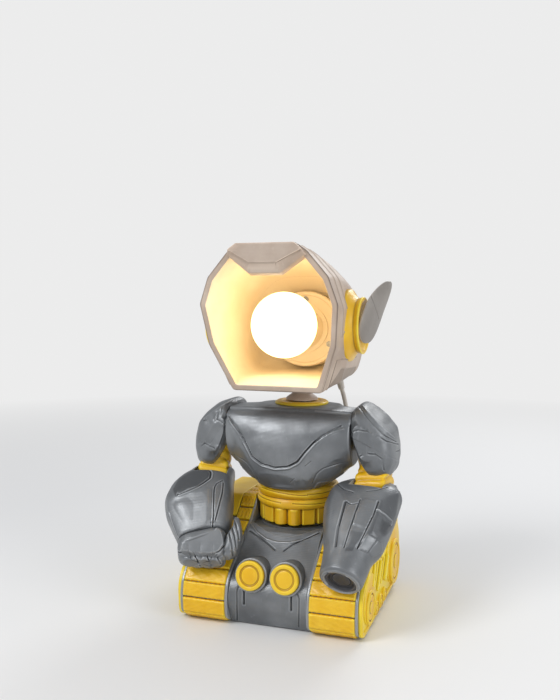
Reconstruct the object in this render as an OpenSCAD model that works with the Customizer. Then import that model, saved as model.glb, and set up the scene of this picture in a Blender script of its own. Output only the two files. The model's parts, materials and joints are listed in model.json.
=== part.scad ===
// Robot shaped desk lamp: a helmet head that holds a globe bulb, on a torso with
// two jointed arms, on a base with crawler tracks.
// Millimetres, +Z up. The robot looks along -Y and its left hand is on the +X side.
// The origin is on the ground, under the middle of the base.

/* [Base] */
// Width of the grey hull between the tracks
hull_w = 73; // [68:1:80]
// Width of one track, rims included
track_w = 45; // [40:1:52]
// Height of the deck that carries the waist
deck_h = 78; // [74:1:82]
// Height of the rear fenders
fender_h = 98; // [92:1:100]
// Radius of the front end of a track
track_nose_r = 25.5; // [22:0.5:28]
// Number of tread pads around one track
pad_count = 32; // [28:1:36]
// Thickness of a tread pad
pad_t = 3.5; // [2:0.5:5]
// Gap between two tread pads
pad_gap = 2; // [1.4:0.2:4]
// Wall of the hull
base_wall = 3; // [2:0.5:5]
// Thickness of the side skirts
skirt_t = 3; // [2:0.5:6]
// Radius of the large rear wheel on the skirt
rear_wheel_r = 31; // [24:1:33]
// Thickness of the front plate
plate_t = 3; // [2:0.5:5]
// Distance between the two headlights
lamp_pitch = 32; // [30:1:36]
// Radius of a headlight housing
lamp_r = 15; // [12:0.5:15.5]

/* [Waist and torso] */
// Largest radius of the waist bellows
waist_r = 40; // [34:1:42]
// Height of the torso's lower edge
torso_z = 113; // [110:1:118]
// Largest half width of the torso
torso_half = 60; // [56:0.5:61]
// Height of the torso's flat top
torso_top = 187; // [182:1:190]
// Wall of the torso shells
torso_wall = 3; // [2:0.5:4.5]
// Radius of the neck collar
collar_r = 26; // [22:0.5:30]
// Radius of the neck shaft
neck_r = 9; // [7:0.5:11]
// Radial play of every shaft that turns
play = 0.06; // [0.02:0.01:0.1]

/* [Head] */
// Half width of the helmet at its widest
head_half = 62.5; // [58:0.5:66]
// Wall of the helmet
head_wall = 5; // [3:0.5:6]
// Height of the lamp axis
lamp_z = 259; // [256:0.5:262]
// Diameter of the bulb's globe
bulb_d = 60; // [50:1:64]
// Radius of the reflector behind the bulb
reflector_r = 37; // [32:0.5:38]
// Radius of the lamp holder
holder_r = 19.5; // [18:0.5:21]
// Outer radius of an ear hub
ear_r = 25.5; // [22:0.5:28]
// Length of an ear fin
fin_len = 62; // [50:1:70]

/* [Arms] */
// Distance of a shoulder centre from the middle plane
shoulder_x = 78; // [76:0.5:81]
// Height of the shoulder axis
shoulder_z = 163; // [160:0.5:166]
// Radius of the shoulder peg
peg_r = 8; // [6:0.5:10]
// Radius of the elbow knuckle
elbow_r = 17; // [15:0.5:18]
// Width of the elbow knuckle
elbow_w = 30; // [26:0.5:32]
// Radius of the elbow pin
pin_r = 2.5; // [2:0.25:4]
// Length of the cannon forearm from the elbow to the muzzle
cannon_len = 106; // [100:1:110]
// Radius of the cannon's muzzle bore
muzzle_r = 12.5; // [9:0.5:13.5]
// Depth of the cannon's muzzle bore
muzzle_depth = 8; // [6:1:24]
// Length of the fist forearm from the elbow to the knuckles
fist_len = 103; // [98:1:108]
// Length of the hand, from the gauntlet's rim to the knuckles
hand_len = 23; // [20:1:28]

/* [Cord] */
// Diameter of the cord
cord_d = 4.4; // [4:0.1:5]
// Mean radius of the stored coil
coil_r = 25; // [23:0.5:27]

/* [Hidden] */
$fn = 64;
eps = 0.01;
gap = 0.3;                      // clearance between skins that don't touch
seat = 0.02;                    // clearance of pieces that are fitted and stay

// ---------------------------------------------------------------- helpers
function spow(v, e) = sign(v) * pow(abs(v), e);
function arc(c, r, a0, a1, n) =
    [for (i = [0:n]) let (a = a0 + (a1 - a0) * i / n) [c[0] + r * cos(a), c[1] + r * sin(a)]];
function unit(v) = v / norm(v);
// Piecewise linear value of a table [[key, value], ...] at x.
function at(t, x, i = 0) =
    x <= t[0][0] ? t[0][1] : i >= len(t) - 1 ? t[len(t) - 1][1]
    : x <= t[i + 1][0] ? t[i][1] + (t[i + 1][1] - t[i][1]) * (x - t[i][0]) / (t[i + 1][0] - t[i][0])
    : at(t, x, i + 1);
// Super-ellipse ring at height z, from front depth yf to back depth yb.
function oval(z, cx, a, yf, yb, p, n) =
    [for (i = [0:n - 1]) let (t = 360 * i / n)
        [cx + a * spow(cos(t), 2 / p), (yf + yb) / 2 + (yb - yf) / 2 * spow(sin(t), 2 / p), z]];
// Solid skin through rings of equal length; rings run anticlockwise seen from the last one.
module loft(rings) {
    n = len(rings[0]);
    m = len(rings);
    polyhedron(points = [for (r = rings) each r],
        faces = concat([[for (i = [0:n - 1]) i]],
            [[for (i = [n - 1:-1:0]) (m - 1) * n + i]],
            [for (j = [0:m - 2], i = [0:n - 1]) let (k = (i + 1) % n)
                each [[j * n + i, (j + 1) * n + i, (j + 1) * n + k],
                      [j * n + i, (j + 1) * n + k, j * n + k]]]));
}
// Cylinder along +X from x0 to x1.
module rod_x(r, x0, x1) { translate([x0, 0, 0]) rotate([0, 90, 0]) cylinder(r = r, h = x1 - x0); }
// Profile in the YZ plane, extruded from x0 to x1.
module slab_x(p, x0, x1) {
    translate([x0, 0, 0]) rotate([90, 0, 90]) linear_extrude(x1 - x0) polygon(p);
}
module both() { children(); mirror([1, 0, 0]) children(); }
// Screw along -Z with its head on top of z = 0.
module screw(head_r, head_h, r, len) {
    difference() {
        cylinder(r = head_r, h = head_h);
        translate([0, 0, head_h - 0.8]) cylinder(r = head_r * 0.5, h = 2, $fn = 6);
    }
    translate([0, 0, -len]) cylinder(r = r, h = len + eps);
}

// ---------------------------------------------------------------- tracks
hull_half = hull_w / 2;
track_x0 = hull_half;
track_x1 = hull_half + track_w;
rim_t = 2.4;                    // grey rim on each edge of a track
rim_inset = 0.8;
rear_r = 26;
// Smooth outline of a track, [y, z], from the ground under the nose and clockwise.
nose_y = -70;                   // middle of a track's front end
nose = concat(arc([-85, 9.5], 9.5, 270, 195, 4),
    arc([nose_y, track_nose_r], track_nose_r, 182, 125, 5));
ramp = [[-63, 61], [-42, 74], [-28, 81], [-12, fender_h]];
tail = concat(arc([56, fender_h - 22], 22, 90, 0, 6), arc([52, rear_r], rear_r, 0, -90, 7));
outline = concat(nose, ramp, tail);
function len_to(p, k) = k == 0 ? 0 : len_to(p, k - 1) + norm(p[k % len(p)] - p[k - 1]);
outline_s = [for (k = [0:len(outline)]) len_to(outline, k)];
outline_len = outline_s[len(outline)];
function walk(s, k = 0) =
    (s <= outline_s[k + 1] || k >= len(outline) - 1)
    ? let (f = (s - outline_s[k]) / (outline_s[k + 1] - outline_s[k]))
        outline[k] * (1 - f) + outline[(k + 1) % len(outline)] * f
    : walk(s, k + 1);
pad_phase = 0.86;                // where the first gap between two pads lies, in pads
pad_pts = [for (i = [0:pad_count - 1]) walk(outline_len * (i + pad_phase) / pad_count)];
// Points of the closed polygon p moved inwards by t (p runs clockwise in Y, Z).
function inward(a, b) = let (d = unit(b - a)) [d[1], -d[0]];
function inset(p, t) = [for (i = [0:len(p) - 1])
    let (n = len(p), u = inward(p[(i + n - 1) % n], p[i]), v = inward(p[i], p[(i + 1) % n]))
    p[i] + t * (u + v) / (1 + u * v)];
fender_from = -34;              // the fender hides the pads behind this y
fender_low = 34;                // height of its lower edge at the back
fender_x0 = track_x0 + 17;
function covered(i) = let (a = pad_pts[i], b = pad_pts[(i + 1) % pad_count])
    (a[0] + b[0]) / 2 > fender_from && max(a[1], b[1]) > fender_low - 1;

module track_core() {
    difference() {
        union() {
            slab_x(pad_seat, track_x0, track_x1);
            slab_x(inset(pad_pts, rim_inset), track_x0, track_x0 + rim_t);
            slab_x(inset(pad_pts, rim_inset), track_x1 - rim_t, track_x1);
        }
        fender_room(gap);
        waist_recess();
    }
}
// The tracks are cut back where the waist passes between them.
module waist_recess() { translate([0, 0, deck_h]) cylinder(r = waist_r + gap, h = 40); }
pad_seat = inset(pad_pts, pad_t);
module pad(i) {
    j = (i + 1) % pad_count;
    a = pad_pts[i];
    b = pad_pts[j];
    trim = unit(b - a) * pad_gap / 2;
    near = a[0] * b[0] < 0 ? 0 : min(abs(a[0]), abs(b[0]));
    waist_x = max(a[1], b[1]) > deck_h ? sqrt(max(0, pow(waist_r + gap, 2) - near * near)) : 0;
    x0 = max(track_x0 + rim_t, waist_x);
    x1 = covered(i) ? fender_x0 - 1 : track_x1 - rim_t;
    slab_x([a + trim, b - trim, pad_seat[j] - trim, pad_seat[i] + trim], x0, x1);
}
module track_pads() for (i = [0:pad_count - 1]) pad(i);

// ---------------------------------------------------------------- fenders, skirts, wheels
// Smooth cover over the outer side of the track's rear.
cover = concat([for (p = outline) if (p[0] > fender_from - 1 && p[1] > fender_low) p],
    [[52 + rear_r, fender_low]]);
// Strip of thickness t on the outer side of the path p.
function thick(p, t) = concat(p, [for (i = [len(p) - 1:-1:0])
    let (q = p[i], d = unit(p[min(i + 1, len(p) - 1)] - p[max(i - 1, 0)])) q + t * [d[1], -d[0]]]);
module fender_room(c) {
    slab_x(thick(cover, 3 + c), fender_x0 - c, track_x1 + 1);
}
module fender() slab_x(thick(cover, 3), fender_x0, track_x1);
skirt_x = track_x1;
skirt = concat(arc([-82, 10.5], 9, 262, 190, 3), arc([-68, 26], 24, 182, 125, 5),
    [[-58, 55], [-30, 70]], arc([46, fender_h - 26], 20, 90, 0, 5), arc([50, rear_r], 24, 0, -82, 6));
rear_wheel = [44, 38];
front_wheel = [-62, 28];
module side_skirt() slab_x(skirt, skirt_x, skirt_x + skirt_t);
module wheel(c, r, t) {
    translate([0, c[0], c[1]]) difference() {
        rod_x(r, skirt_x + skirt_t, skirt_x + skirt_t + t);
        rotate([0, 90, 0]) translate([0, 0, skirt_x + skirt_t + t - 1.2])
            rotate_extrude() translate([r * 0.72, 0]) square([r * 0.12, 3]);
    }
}
module skirt_wheels() {
    wheel(rear_wheel, rear_wheel_r, 4);
    wheel(front_wheel, 22, 3);
    for (i = [0:3]) wheel([-31 + 12.5 * i, 13], 5.4, 2.4);
    for (i = [0:2]) translate([skirt_x + skirt_t, -30 + 13 * i, 27 + 4 * i])
        rotate([-14, 0, 0]) cube([2, 5.5, 24]);
}

// ---------------------------------------------------------------- hull
lip = [-44, 75];                // where the front slope meets the deck's lip
slope = concat([[-83, 0.8]], arc([-68, 24], 24.5, 200, 140, 4), [[-58, 62], lip]);
hull_side = concat(slope, [[-38, deck_h], [58, deck_h], [70, 60], [72, 24], [68, 0.8]]);
scoop_r = waist_r + 8;          // the lip is cut away in front of the waist
plate_z = 4.2;                  // top of the base plate
module base_screw_places() {
    for (x = [-1, 1], y = [-52, 48]) translate([x * (hull_half - base_wall - 4), y, 0]) children();
}
module hull_cut(r) { translate([0, 0, deck_h - 13]) cylinder(r = r, h = 60); }
module hull_solid() {
    difference() {
        slab_x(inset(hull_side, plate_t), -hull_half, hull_half);
        slab_x(inset(hull_side, plate_t + base_wall), -hull_half + base_wall, hull_half - base_wall);
        translate([-hull_half + base_wall, -60, -1]) cube([hull_w - 2 * base_wall, 115, 12]);
        headlight_pair() cylinder(r = 5, h = 20, center = true);
    }
    translate([0, 0, deck_h - plate_t - eps]) cylinder(r = waist_r - 4, h = plate_t - 2 + eps);
    base_screw_places() translate([0, 0, plate_z]) difference() {
        cylinder(r = 4.5, h = 14);
        translate([0, 0, -1]) cylinder(r = 1.25 + seat, h = 12);
    }
}
module front_plate_solid() {
    edge = concat(slope, [[-38, deck_h], [-30, deck_h]]);
    difference() {
        union() {
            slab_x(thick(edge, plate_t - seat), -hull_half + gap, hull_half - gap);
        }
        hull_cut(scoop_r);
        headlight_pair() cylinder(r = lamp_r - 4, h = 30, center = true);
        both() translate([21, -100, 17]) cube([1.4, 60, 10]);
    }
}
module base_plate_solid() {
    difference() {
        translate([-hull_half + base_wall + gap, -58, 0])
            cube([hull_w - 2 * (base_wall + gap), 111, plate_z]);
        base_screw_places() translate([0, 0, -1]) {
            cylinder(r = 1.7, h = 9);
            cylinder(r = 3.4, h = 3.2);
        }
    }
}
module base_screws_solid() {
    base_screw_places() translate([0, 0, 2.2]) mirror([0, 0, 1]) screw(3.1, 1.6, 1.25, 9);
}

// ---------------------------------------------------------------- headlights
lamp_tilt = 12;
module headlight_at(side) {
    translate([side * lamp_pitch / 2, -88.7, 46.3]) rotate([90 - lamp_tilt, 0, 0]) children();
}
module headlight_pair() { headlight_at(1) children(); headlight_at(-1) children(); }
cap_seat = 1.6;                 // depth of the recess that holds a cap
module headlight_room() {
    slab_x(inset(concat(slope, [[-38, deck_h], [60, deck_h], [60, 1]]), -seat), -60, 60);
}
module headlight_housings_solid() {
    difference() {
        headlight_pair() difference() {
            translate([0, 0, -34]) cylinder(r = lamp_r, h = 34);
            translate([0, 0, -cap_seat]) cylinder(r = lamp_r - 2 + seat, h = 4);
        }
        headlight_room();
    }
}
module headlight_caps_solid() {
    difference() {
        headlight_pair() translate([0, 0, -cap_seat + seat]) rotate_extrude() polygon([[0, 0],
            [lamp_r - 2, 0], [lamp_r - 2, 4.6], [lamp_r - 3, 5.6], [lamp_r * 0.62, 5.6],
            [lamp_r * 0.56, 3.8], [0, 3.8]]);
        headlight_room();
    }
}

// ---------------------------------------------------------------- waist
flute_h = 14;
spigot_r = 26;                  // the waist's spigot centres the torso
module waist_solid() {
    h = torso_z - deck_h - 1;
    bore = spigot_r - 4;
    translate([0, 0, deck_h + 1]) {
        linear_extrude(flute_h) difference() {
            union() {
                circle(r = waist_r - 6);
                for (i = [0:17]) rotate(i * 20 + 10) translate([waist_r - 6, 0]) circle(r = 4.6, $fn = 24);
            }
            circle(r = bore);
        }
        rotate_extrude() polygon(concat([[bore, flute_h]], [for (i = [0:20]) let (u = i / 20)
            [waist_r - 3.2 + 2.6 * abs(sin(u * 450)), flute_h + u * (h - flute_h)]],
            [[spigot_r - seat, h], [spigot_r - seat, h + 5], [bore, h + 5]]));
    }
}

// ---------------------------------------------------------------- torso
seam_y = 12;                    // the two torso shells meet here
torso_h = torso_top - torso_z;
function torso_a(u, t) = torso_half - t + at([[0, -29.5], [0.08, -20.5], [0.2, -9.5], [0.34, -3.5],
    [0.53, -0.5], [0.7, -1], [0.85, -6], [0.96, -13], [1, -17]], u);
function torso_f(u, t) = t + at([[0, -43], [0.2, -49], [0.45, -51], [0.7, -47], [0.88, -40],
    [1, -30]], u);
function torso_b(u, t) = -t + at([[0, 34], [0.3, 38], [0.7, 40], [0.9, 37], [1, 31]], u);
torso_u = [0, 0.08, 0.2, 0.34, 0.53, 0.7, 0.85, 0.94, 1];
module torso_solid(t) {
    loft([for (u = torso_u) oval(torso_z + t + u * (torso_h - 2 * t), 0,
        torso_a(u, t), torso_f(u, t), torso_b(u, t), at([[0.2, 2.5], [0.6, 3]], u), 36)]);
}
boss_x0 = 34;
module torso_all() {
    difference() {
        union() {
            difference() {
                torso_solid(0);
                torso_solid(torso_wall);
            }
            both() shoulder_frame() rod_x(peg_r + 8, boss_x0, torso_half);
            // round sockets that the arms turn against
            both() intersection() {
                translate([0, -13, 163]) rotate([0, 90, 0]) rotate_extrude() polygon([[0, 50], [30, 44],
                    [30, torso_half - 1.5], [28.5, torso_half], [0, torso_half]]);
                translate([0, -100, 90]) cube([100, 200, torso_top - 0.5 - 90]);
            }
            translate([0, 11, torso_top - 12]) cylinder(r = neck_r + 5, h = 12);
        }
        both() shoulder_frame() rod_x(peg_r + play, 20, 90);
        translate([0, 11, 150]) cylinder(r = neck_r + play, h = 60);
        translate([0, 0, torso_z - 5]) cylinder(r = spigot_r, h = 9);
    }
}
screw_at = [[-30, 128], [30, 128], [-22, 172], [22, 172]];
module torso_back_solid() {
    difference() {
        intersection() {
            torso_all();
            translate([-100, seam_y + seat, 90]) cube([200, 80, 120]);
        }
        for (s = screw_at) translate([s[0], 60, s[1]]) rotate([90, 0, 0]) {
            cylinder(r = 1.8, h = 60);
            cylinder(r = 3.4, h = 60 - seam_y - 12);
        }
        translate([0, 11, 150]) cylinder(r = neck_r + 5 + gap, h = torso_top - 150 - torso_wall);
        translate([0, 11, 150]) cylinder(r = neck_r + 5 + gap, h = 60);
    }
    for (s = screw_at) translate([s[0], seam_y + seat, s[1]]) rotate([-90, 0, 0]) difference() {
        cylinder(r = 5, h = 20);
        translate([0, 0, -1]) cylinder(r = 1.8, h = 40);
        translate([0, 0, 12]) cylinder(r = 3.4, h = 30);
    }
}
module torso_front_solid() {
    difference() {
        intersection() {
            torso_all();
            union() {
                translate([-100, -90, 90]) cube([200, 90 + seam_y, 120]);
                translate([0, 11, 150]) cylinder(r = neck_r + 5, h = 60);
            }
        }
    }
    intersection() {
        torso_solid(torso_wall / 2);
        for (s = screw_at) translate([s[0], seam_y, s[1]]) rotate([90, 0, 0]) difference() {
            cylinder(r = 4, h = 62);
            translate([0, 0, -1]) cylinder(r = 1.2 + seat, h = 12);
        }
    }
}
module torso_screws_solid() {
    for (s = screw_at) translate([s[0], seam_y + 12 + 2 * seat, s[1]]) rotate([-90, 0, 0])
        screw(3, 2, 1.2, 21);
}
module neck_collar_solid() {
    translate([0, 11, torso_top]) rotate_extrude() polygon([[neck_r + 3, 0], [collar_r, 0],
        [collar_r, 1.6], [collar_r - 2, 3], [collar_r - 6, 3.4], [collar_r - 8, 2.4],
        [neck_r + 5, 2.4], [neck_r + 3, 1.8]]);
}

// ---------------------------------------------------------------- head
neck_y = 11;
neck_top = 212;
module neck_spool_solid() {
    z0 = torso_top + 3.8;
    translate([0, neck_y, 0]) rotate_extrude() polygon([[0, torso_top - 24],
        [neck_r - 4, torso_top - 24], [neck_r - 4, torso_top - 12 - play],
        [neck_r, torso_top - 12 - play],
        [neck_r, z0], [collar_r - 10, z0], [collar_r - 11, z0 + 2], [neck_r + 0.5, z0 + 6],
        [neck_r - 0.5, z0 + 10], [neck_r + 0.5, z0 + 13], [neck_r + 5, z0 + 17],
        [neck_r + 6, neck_top], [6, neck_top], [6, neck_top + head_wall + 1],
        [0, neck_top + head_wall + 1]]);
}
module neck_clamp_solid() {
    translate([0, neck_y, torso_top - 12 - play - 4]) {
        difference() {
            cylinder(r = neck_r + 4, h = 4 - play);
            translate([0, 0, -1]) cylinder(r = neck_r - 4 + seat, h = 9);
        }
        translate([0, 0, -5]) difference() {
            cylinder(r = neck_r - 0.5, h = 5, $fn = 6);
            translate([0, 0, -1]) cylinder(r = neck_r - 4 + seat, h = 9);
        }
    }
}
// Helmet sections: a unit outline, scaled at each station v from the face (0) to the back (4).
seam_v = 2;
face_outline = [[0.66, 0], [0.93, 0.32], [1, 0.6], [0.87, 0.78], [0.58, 0.945], [0.42, 1]];
body_outline = [[0.86, 0], [0.98, 0.25], [1, 0.55], [0.87, 0.79], [0.6, 0.94], [0.42, 1]];
function head_outline(v) = face_outline + (body_outline - face_outline) * min(1, v);
function head_w(v) = head_half * at([[0, 1], [1, 0.995], [2, 0.95], [3, 0.8], [4, 0.42]], v);
function head_zt(v) = at([[0, 336], [1, 331], [2, 315], [3, 291], [4, 270]], v);
function head_zb(v) = at([[0, 206.6], [1, 211.5], [2, 213], [3, 224], [4, 240]], v);
function face_y(z) = at([[206.6, -65], [240, -78], [287, -91], [336, -92]], z);
function head_y(v, z) = v < 1
    ? face_y(z) * (1 - v) - 45 * v
    : at([[1, -45], [2, 20], [3, 44], [4, 52]], v);
function head_ring(v, t, dy = 0) = let (a = head_w(v) - t * 1.05, b = head_zb(v) + t,
    h = head_zt(v) - t - b, o = head_outline(v), n = len(o))
    [for (i = [0:2 * n - 1]) let (q = i < n ? o[i] : o[2 * n - 1 - i], z = b + q[1] * h)
        [(i < n ? -1 : 1) * q[0] * a, head_y(v, z) + dy, z]];
module helmet(v0, v1, t, out0 = 0, out1 = 0) {
    loft([for (i = [0:6]) let (v = v0 + (v1 - v0) * i / 6)
        head_ring(v, t, i == 0 ? -out0 : i == 6 ? out1 : 0)]);
}
// The screws run in the middle of the helmet's wall, across the seam.
function wall_mid(i) = let (r = head_ring(seam_v, head_wall / 2), a = r[i], b = r[i + 1], m = (a + b) / 2)
    [m[0], m[2]];
head_screw_at = [wall_mid(2), wall_mid(len(face_outline) * 2 - 4), wall_mid(0),
    wall_mid(len(face_outline) * 2 - 2)];
head_screw_r = 1.15;
head_screw_y = 22.4;            // under the screw heads
module head_shell_solid() {
    difference() {
        union() {
            difference() {
                helmet(0, seam_v, 0);
                helmet(0, seam_v, head_wall, 1, 1);
            }
            intersection() {
                translate([0, neck_y, neck_top]) cylinder(r = neck_r + 6, h = head_wall);
                translate([-50, -50, 200]) cube([100, 50 + head_y(seam_v, 0) - seat, 40]);
            }
        }
        translate([0, neck_y, neck_top - 5]) cylinder(r = 6 + seat, h = 20);
        translate([0, neck_y, neck_top - 10]) cylinder(r = neck_r + 8, h = 10);
        for (s = head_screw_at) translate([s[0], 21, s[1]]) rotate([90, 0, 0])
            cylinder(r = head_screw_r + seat, h = 10);
    }
}
module head_back_solid() {
    difference() {
        union() {
            difference() {
                helmet(seam_v, 4, 0);
                helmet(seam_v, 3.6, head_wall, 1, 0);
            }
            intersection() {
                helmet(seam_v, 4, 1);
                union() {
                    lamp_frame() {
                        translate([0, 0, -40]) difference() {
                            cylinder(r = reflector_r, h = 35);
                            translate([0, 0, -1]) cylinder(r = reflector_r - 3, h = 40);
                        }
                        posts() translate([0, 0, -40]) cylinder(r = 4, h = 38);
                    }
                }
            }
        }
        for (s = head_screw_at) translate([s[0], 0, s[1]]) rotate([-90, 0, 0]) {
            cylinder(r = head_screw_r + 0.2, h = 80);
            translate([0, 0, head_screw_y]) cylinder(r = 2.5, h = 60);
        }
        lamp_frame() posts() translate([0, 0, -12]) cylinder(r = 1.2, h = 12);
    }
}
module head_screws_solid() {
    for (s = head_screw_at) translate([s[0], head_screw_y, s[1]]) rotate([-90, 0, 0])
        screw(2.2, 1.4, head_screw_r, 11);
}
module brow_visor_solid() {
    difference() {
        translate([0, -96, 324]) rotate([-14, 0, 0]) rotate([90, 0, 0]) translate([0, 0, -8])
            linear_extrude(12) polygon([[-26, 12], [-35, 3], [-14, -13], [14, -13], [35, 3], [26, 12]]);
        helmet(0, 1, -seat);
        helmet(0, 1, head_wall, 0, 1);
        translate([0, -92 + 30, 300]) cube([140, 60, 140], center = true);
        translate([0, -125, 324]) rotate([-14, 0, 0]) translate([0, 21, 0])
            cube([120, 10, 80], center = true);
    }
}

// Ears
ear_y = -33;
ear_z = 265;
module ear_frame() { translate([0, ear_y, ear_z]) children(); }
module ear_hub() {
    difference() {
        ear_frame() rotate([0, 90, 0]) rotate_extrude() polygon([[0, 50], [ear_r + 7, 50],
            [ear_r + 7, 60], [ear_r + 1, 64], [ear_r - 1.5, 67], [ear_r - 0.5, 69], [ear_r, 70],
            [ear_r, 71.5], [ear_r - 3, 72], [ear_r - 6, 69], [0, 69]]);
        both_skins();
    }
}
module both_skins() {
    helmet(0, seam_v, -seat);
    mirror([1, 0, 0]) helmet(0, seam_v, -seat);
}
function fin_c(s) = [73.7 + 3 * s + 11.5 * s * s, ear_y + 26 * s * s, ear_z - 16 + (fin_len - 6) * s];
function fin_ring(s) = let (w = 17 * sqrt(1 - pow(abs(2 * s - 1), 2.6)),
    c = fin_c(s), u = unit([0.35, 0.94, 0]), v = [u[1], -u[0], 0], t = 1.2 + 2.6 * sin(180 * s))
    [for (i = [0:15]) let (a = 360 * i / 16) c + u * w * cos(a) - v * t * sin(a)];
module ear_fin() {
    loft([for (i = [0:10]) fin_ring(0.5 - 0.49 * cos(18 * i))]);
    ear_frame() rod_x(9, 69 + seat, 74);
}

// ---------------------------------------------------------------- lamp
lamp_tip = 5.3;                 // the lamp axis points up by this angle
bulb_r = bulb_d / 2;
globe_at = 35.3 + bulb_r;       // globe centre, in front of the reflector
neck_end = globe_at - 21.3;
module lamp_frame() { translate([0, 21, lamp_z]) rotate([90 - lamp_tip, 0, 0]) children(); }
module posts() for (a = [90, 210, 330]) rotate(a) translate([reflector_r - 8, 0, 0]) children();
module reflector_solid() {
    lamp_frame() difference() {
        rotate_extrude() polygon([[holder_r + seat, -2], [reflector_r - 2, -2], [reflector_r - 2, -5],
            [reflector_r, -5], [reflector_r, 0], [reflector_r - 1, 1], [reflector_r - 3, 1],
            [reflector_r - 4, 0], [holder_r + seat, 0]]);
        posts() translate([0, 0, -3]) cylinder(r = 1.6, h = 5);
    }
}
module reflector_screws_solid() { lamp_frame() posts() screw(2.8, 1.4, 1.15, 11); }
module lamp_holder_solid() {
    lamp_frame() {
        difference() {
            rotate_extrude() polygon([[0, -24], [holder_r - 5, -24], [holder_r, -18], [holder_r, 0],
                [holder_r + 4, 0], [holder_r + 4, 2.5], [holder_r, 3], [holder_r, 24], [0, 24]]);
            translate([0, 0, -2]) cylinder(r = 13.7, h = 30);
        }
        translate([0, 0, -4.5]) difference() {
            cylinder(r = holder_r + 4, h = 2.5);
            translate([0, 0, -1]) cylinder(r = holder_r + seat, h = 5);
        }
    }
}
module holder_contacts_solid() {
    lamp_frame() {
        difference() {
            translate([0, 0, 2]) cylinder(r = 13.7 - seat, h = 18);
            cylinder(r = 13.3, h = 30);
        }
        translate([0, 0, -2]) cylinder(r = 5, h = 1.3);
    }
}
module bulb_globe_solid() {
    lamp_frame() translate([0, 0, globe_at]) difference() {
        sphere(r = bulb_r);
        sphere(r = bulb_r - 1.2);
        translate([0, 0, -100 - (globe_at - neck_end)]) cylinder(r = 60, h = 100);
    }
}
module bulb_neck_solid() {
    lamp_frame() rotate_extrude() polygon([[0, 25], [13.1, 25], [15, 28],
        [sqrt(bulb_r * bulb_r - 21.3 * 21.3), neck_end], [0, neck_end]]);
}
module bulb_cap_solid() {
    lamp_frame() rotate_extrude() polygon([[0, -0.6], [4.5, -0.6], [5.5, 1], [11, 3], [13.1, 5],
        [13.1, 25], [0, 25]]);
}

// ---------------------------------------------------------------- arms
shoulder_y = -8;
elbow_over = 3;                 // height of a knuckle over the fender
elbow = [79, -20, fender_h + elbow_r + elbow_over];
over_nose = 29.7;                // height of a forearm's axis over the front end
// A forearm points down by the angle that takes it over the track's front end.
arm_pitch = atan2(elbow[2] - 2 * track_nose_r - over_nose, elbow[1] - nose_y);
cannon_yaw = -6.7;
fist_yaw = 13.5;
module shoulder_frame() { translate([0, shoulder_y, shoulder_z]) children(); }
module elbow_frame(yaw) { translate(elbow) rotate([0, 0, yaw]) children(); }
module forearm_frame(yaw) { elbow_frame(yaw) rotate([90 + arm_pitch, 0, 0]) children(); }
core_x0 = torso_half + gap;
ball_r = 16.5;
limb = [elbow[0] - shoulder_x + 1, elbow[1] - shoulder_y, elbow[2] - shoulder_z];
module limb_shape(c) {
    shoulder_frame() {
        rod_x(15 + c, core_x0 - c, shoulder_x);
        translate([shoulder_x - 1, 0, 0]) {
            sphere(r = ball_r + c);
            rotate([0, acos(limb[2] / norm(limb)), atan2(limb[1], limb[0])])
                cylinder(r1 = 16 + c, r2 = 13 + c, h = norm(limb));
        }
    }
}
// Both arms are made on the +X side; the right one is mirrored.
module arm_core(yaw) {
    difference() {
        union() {
            shoulder_frame() rod_x(peg_r, boss_x0, core_x0 + 1);
            limb_shape(0);
            elbow_frame(yaw) rod_x(elbow_r, -elbow_w / 2, elbow_w / 2);
        }
        shoulder_frame() rod_x(2 + seat, boss_x0 - 1, boss_x0 + 16);
        elbow_frame(yaw) rod_x(pin_r + play, -elbow_w, elbow_w);
    }
}
armor_side = [[65, 151], [60, 166], [59.5, 188], [64, 192], [75, 188.5], [86, 180], [94, 170],
    [98, 156], [98.5, 143], [96, 130], [89, 124.5], [78, 125.5], [71, 136]];
armor_k = [[-37, 0.5], [-34, 0.78], [-26, 0.95], [-12, 1], [4, 1], [16, 0.93], [22, 0.78], [25, 0.5]];
module shoulder_armor() {
    c = [63, 160];
    drawn_at = [78, 163];       // the shoulder that armor_side was drawn around
    difference() {
        loft([for (k = armor_k) [for (p = armor_side)
            let (q = c + (p - c) * k[1] + [shoulder_x, shoulder_z] - drawn_at) [q[0], k[0], q[1]]]]);
        limb_shape(gap);
        for (yaw = [cannon_yaw, -fist_yaw]) elbow_frame(yaw) rod_x(elbow_r + gap, -24, 24);
        translate([core_x0 - 100, -100, 100]) cube([100, 200, 120]);
    }
}
module shoulder_bolt() {
    shoulder_frame() {
        rod_x(peg_r + 4, boss_x0 - play - 2, boss_x0 - play);
        rod_x(4.5, boss_x0 - play - 5, boss_x0 - play - 2 + eps);
        rod_x(2, boss_x0 - play - 3, boss_x0 + 15);
    }
}
module elbow_cut() {
    w = elbow_w / 2 + gap;
    rod_x(elbow_r + gap, -w, w);
    translate([-w, -elbow_r - gap, -40]) cube([2 * w, elbow_r + 45, 40]);
    translate([-w, 0, -40]) cube([2 * w, 45, 40 + elbow_r + gap]);
    rod_x(pin_r + seat, -60, 60);
}
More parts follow.
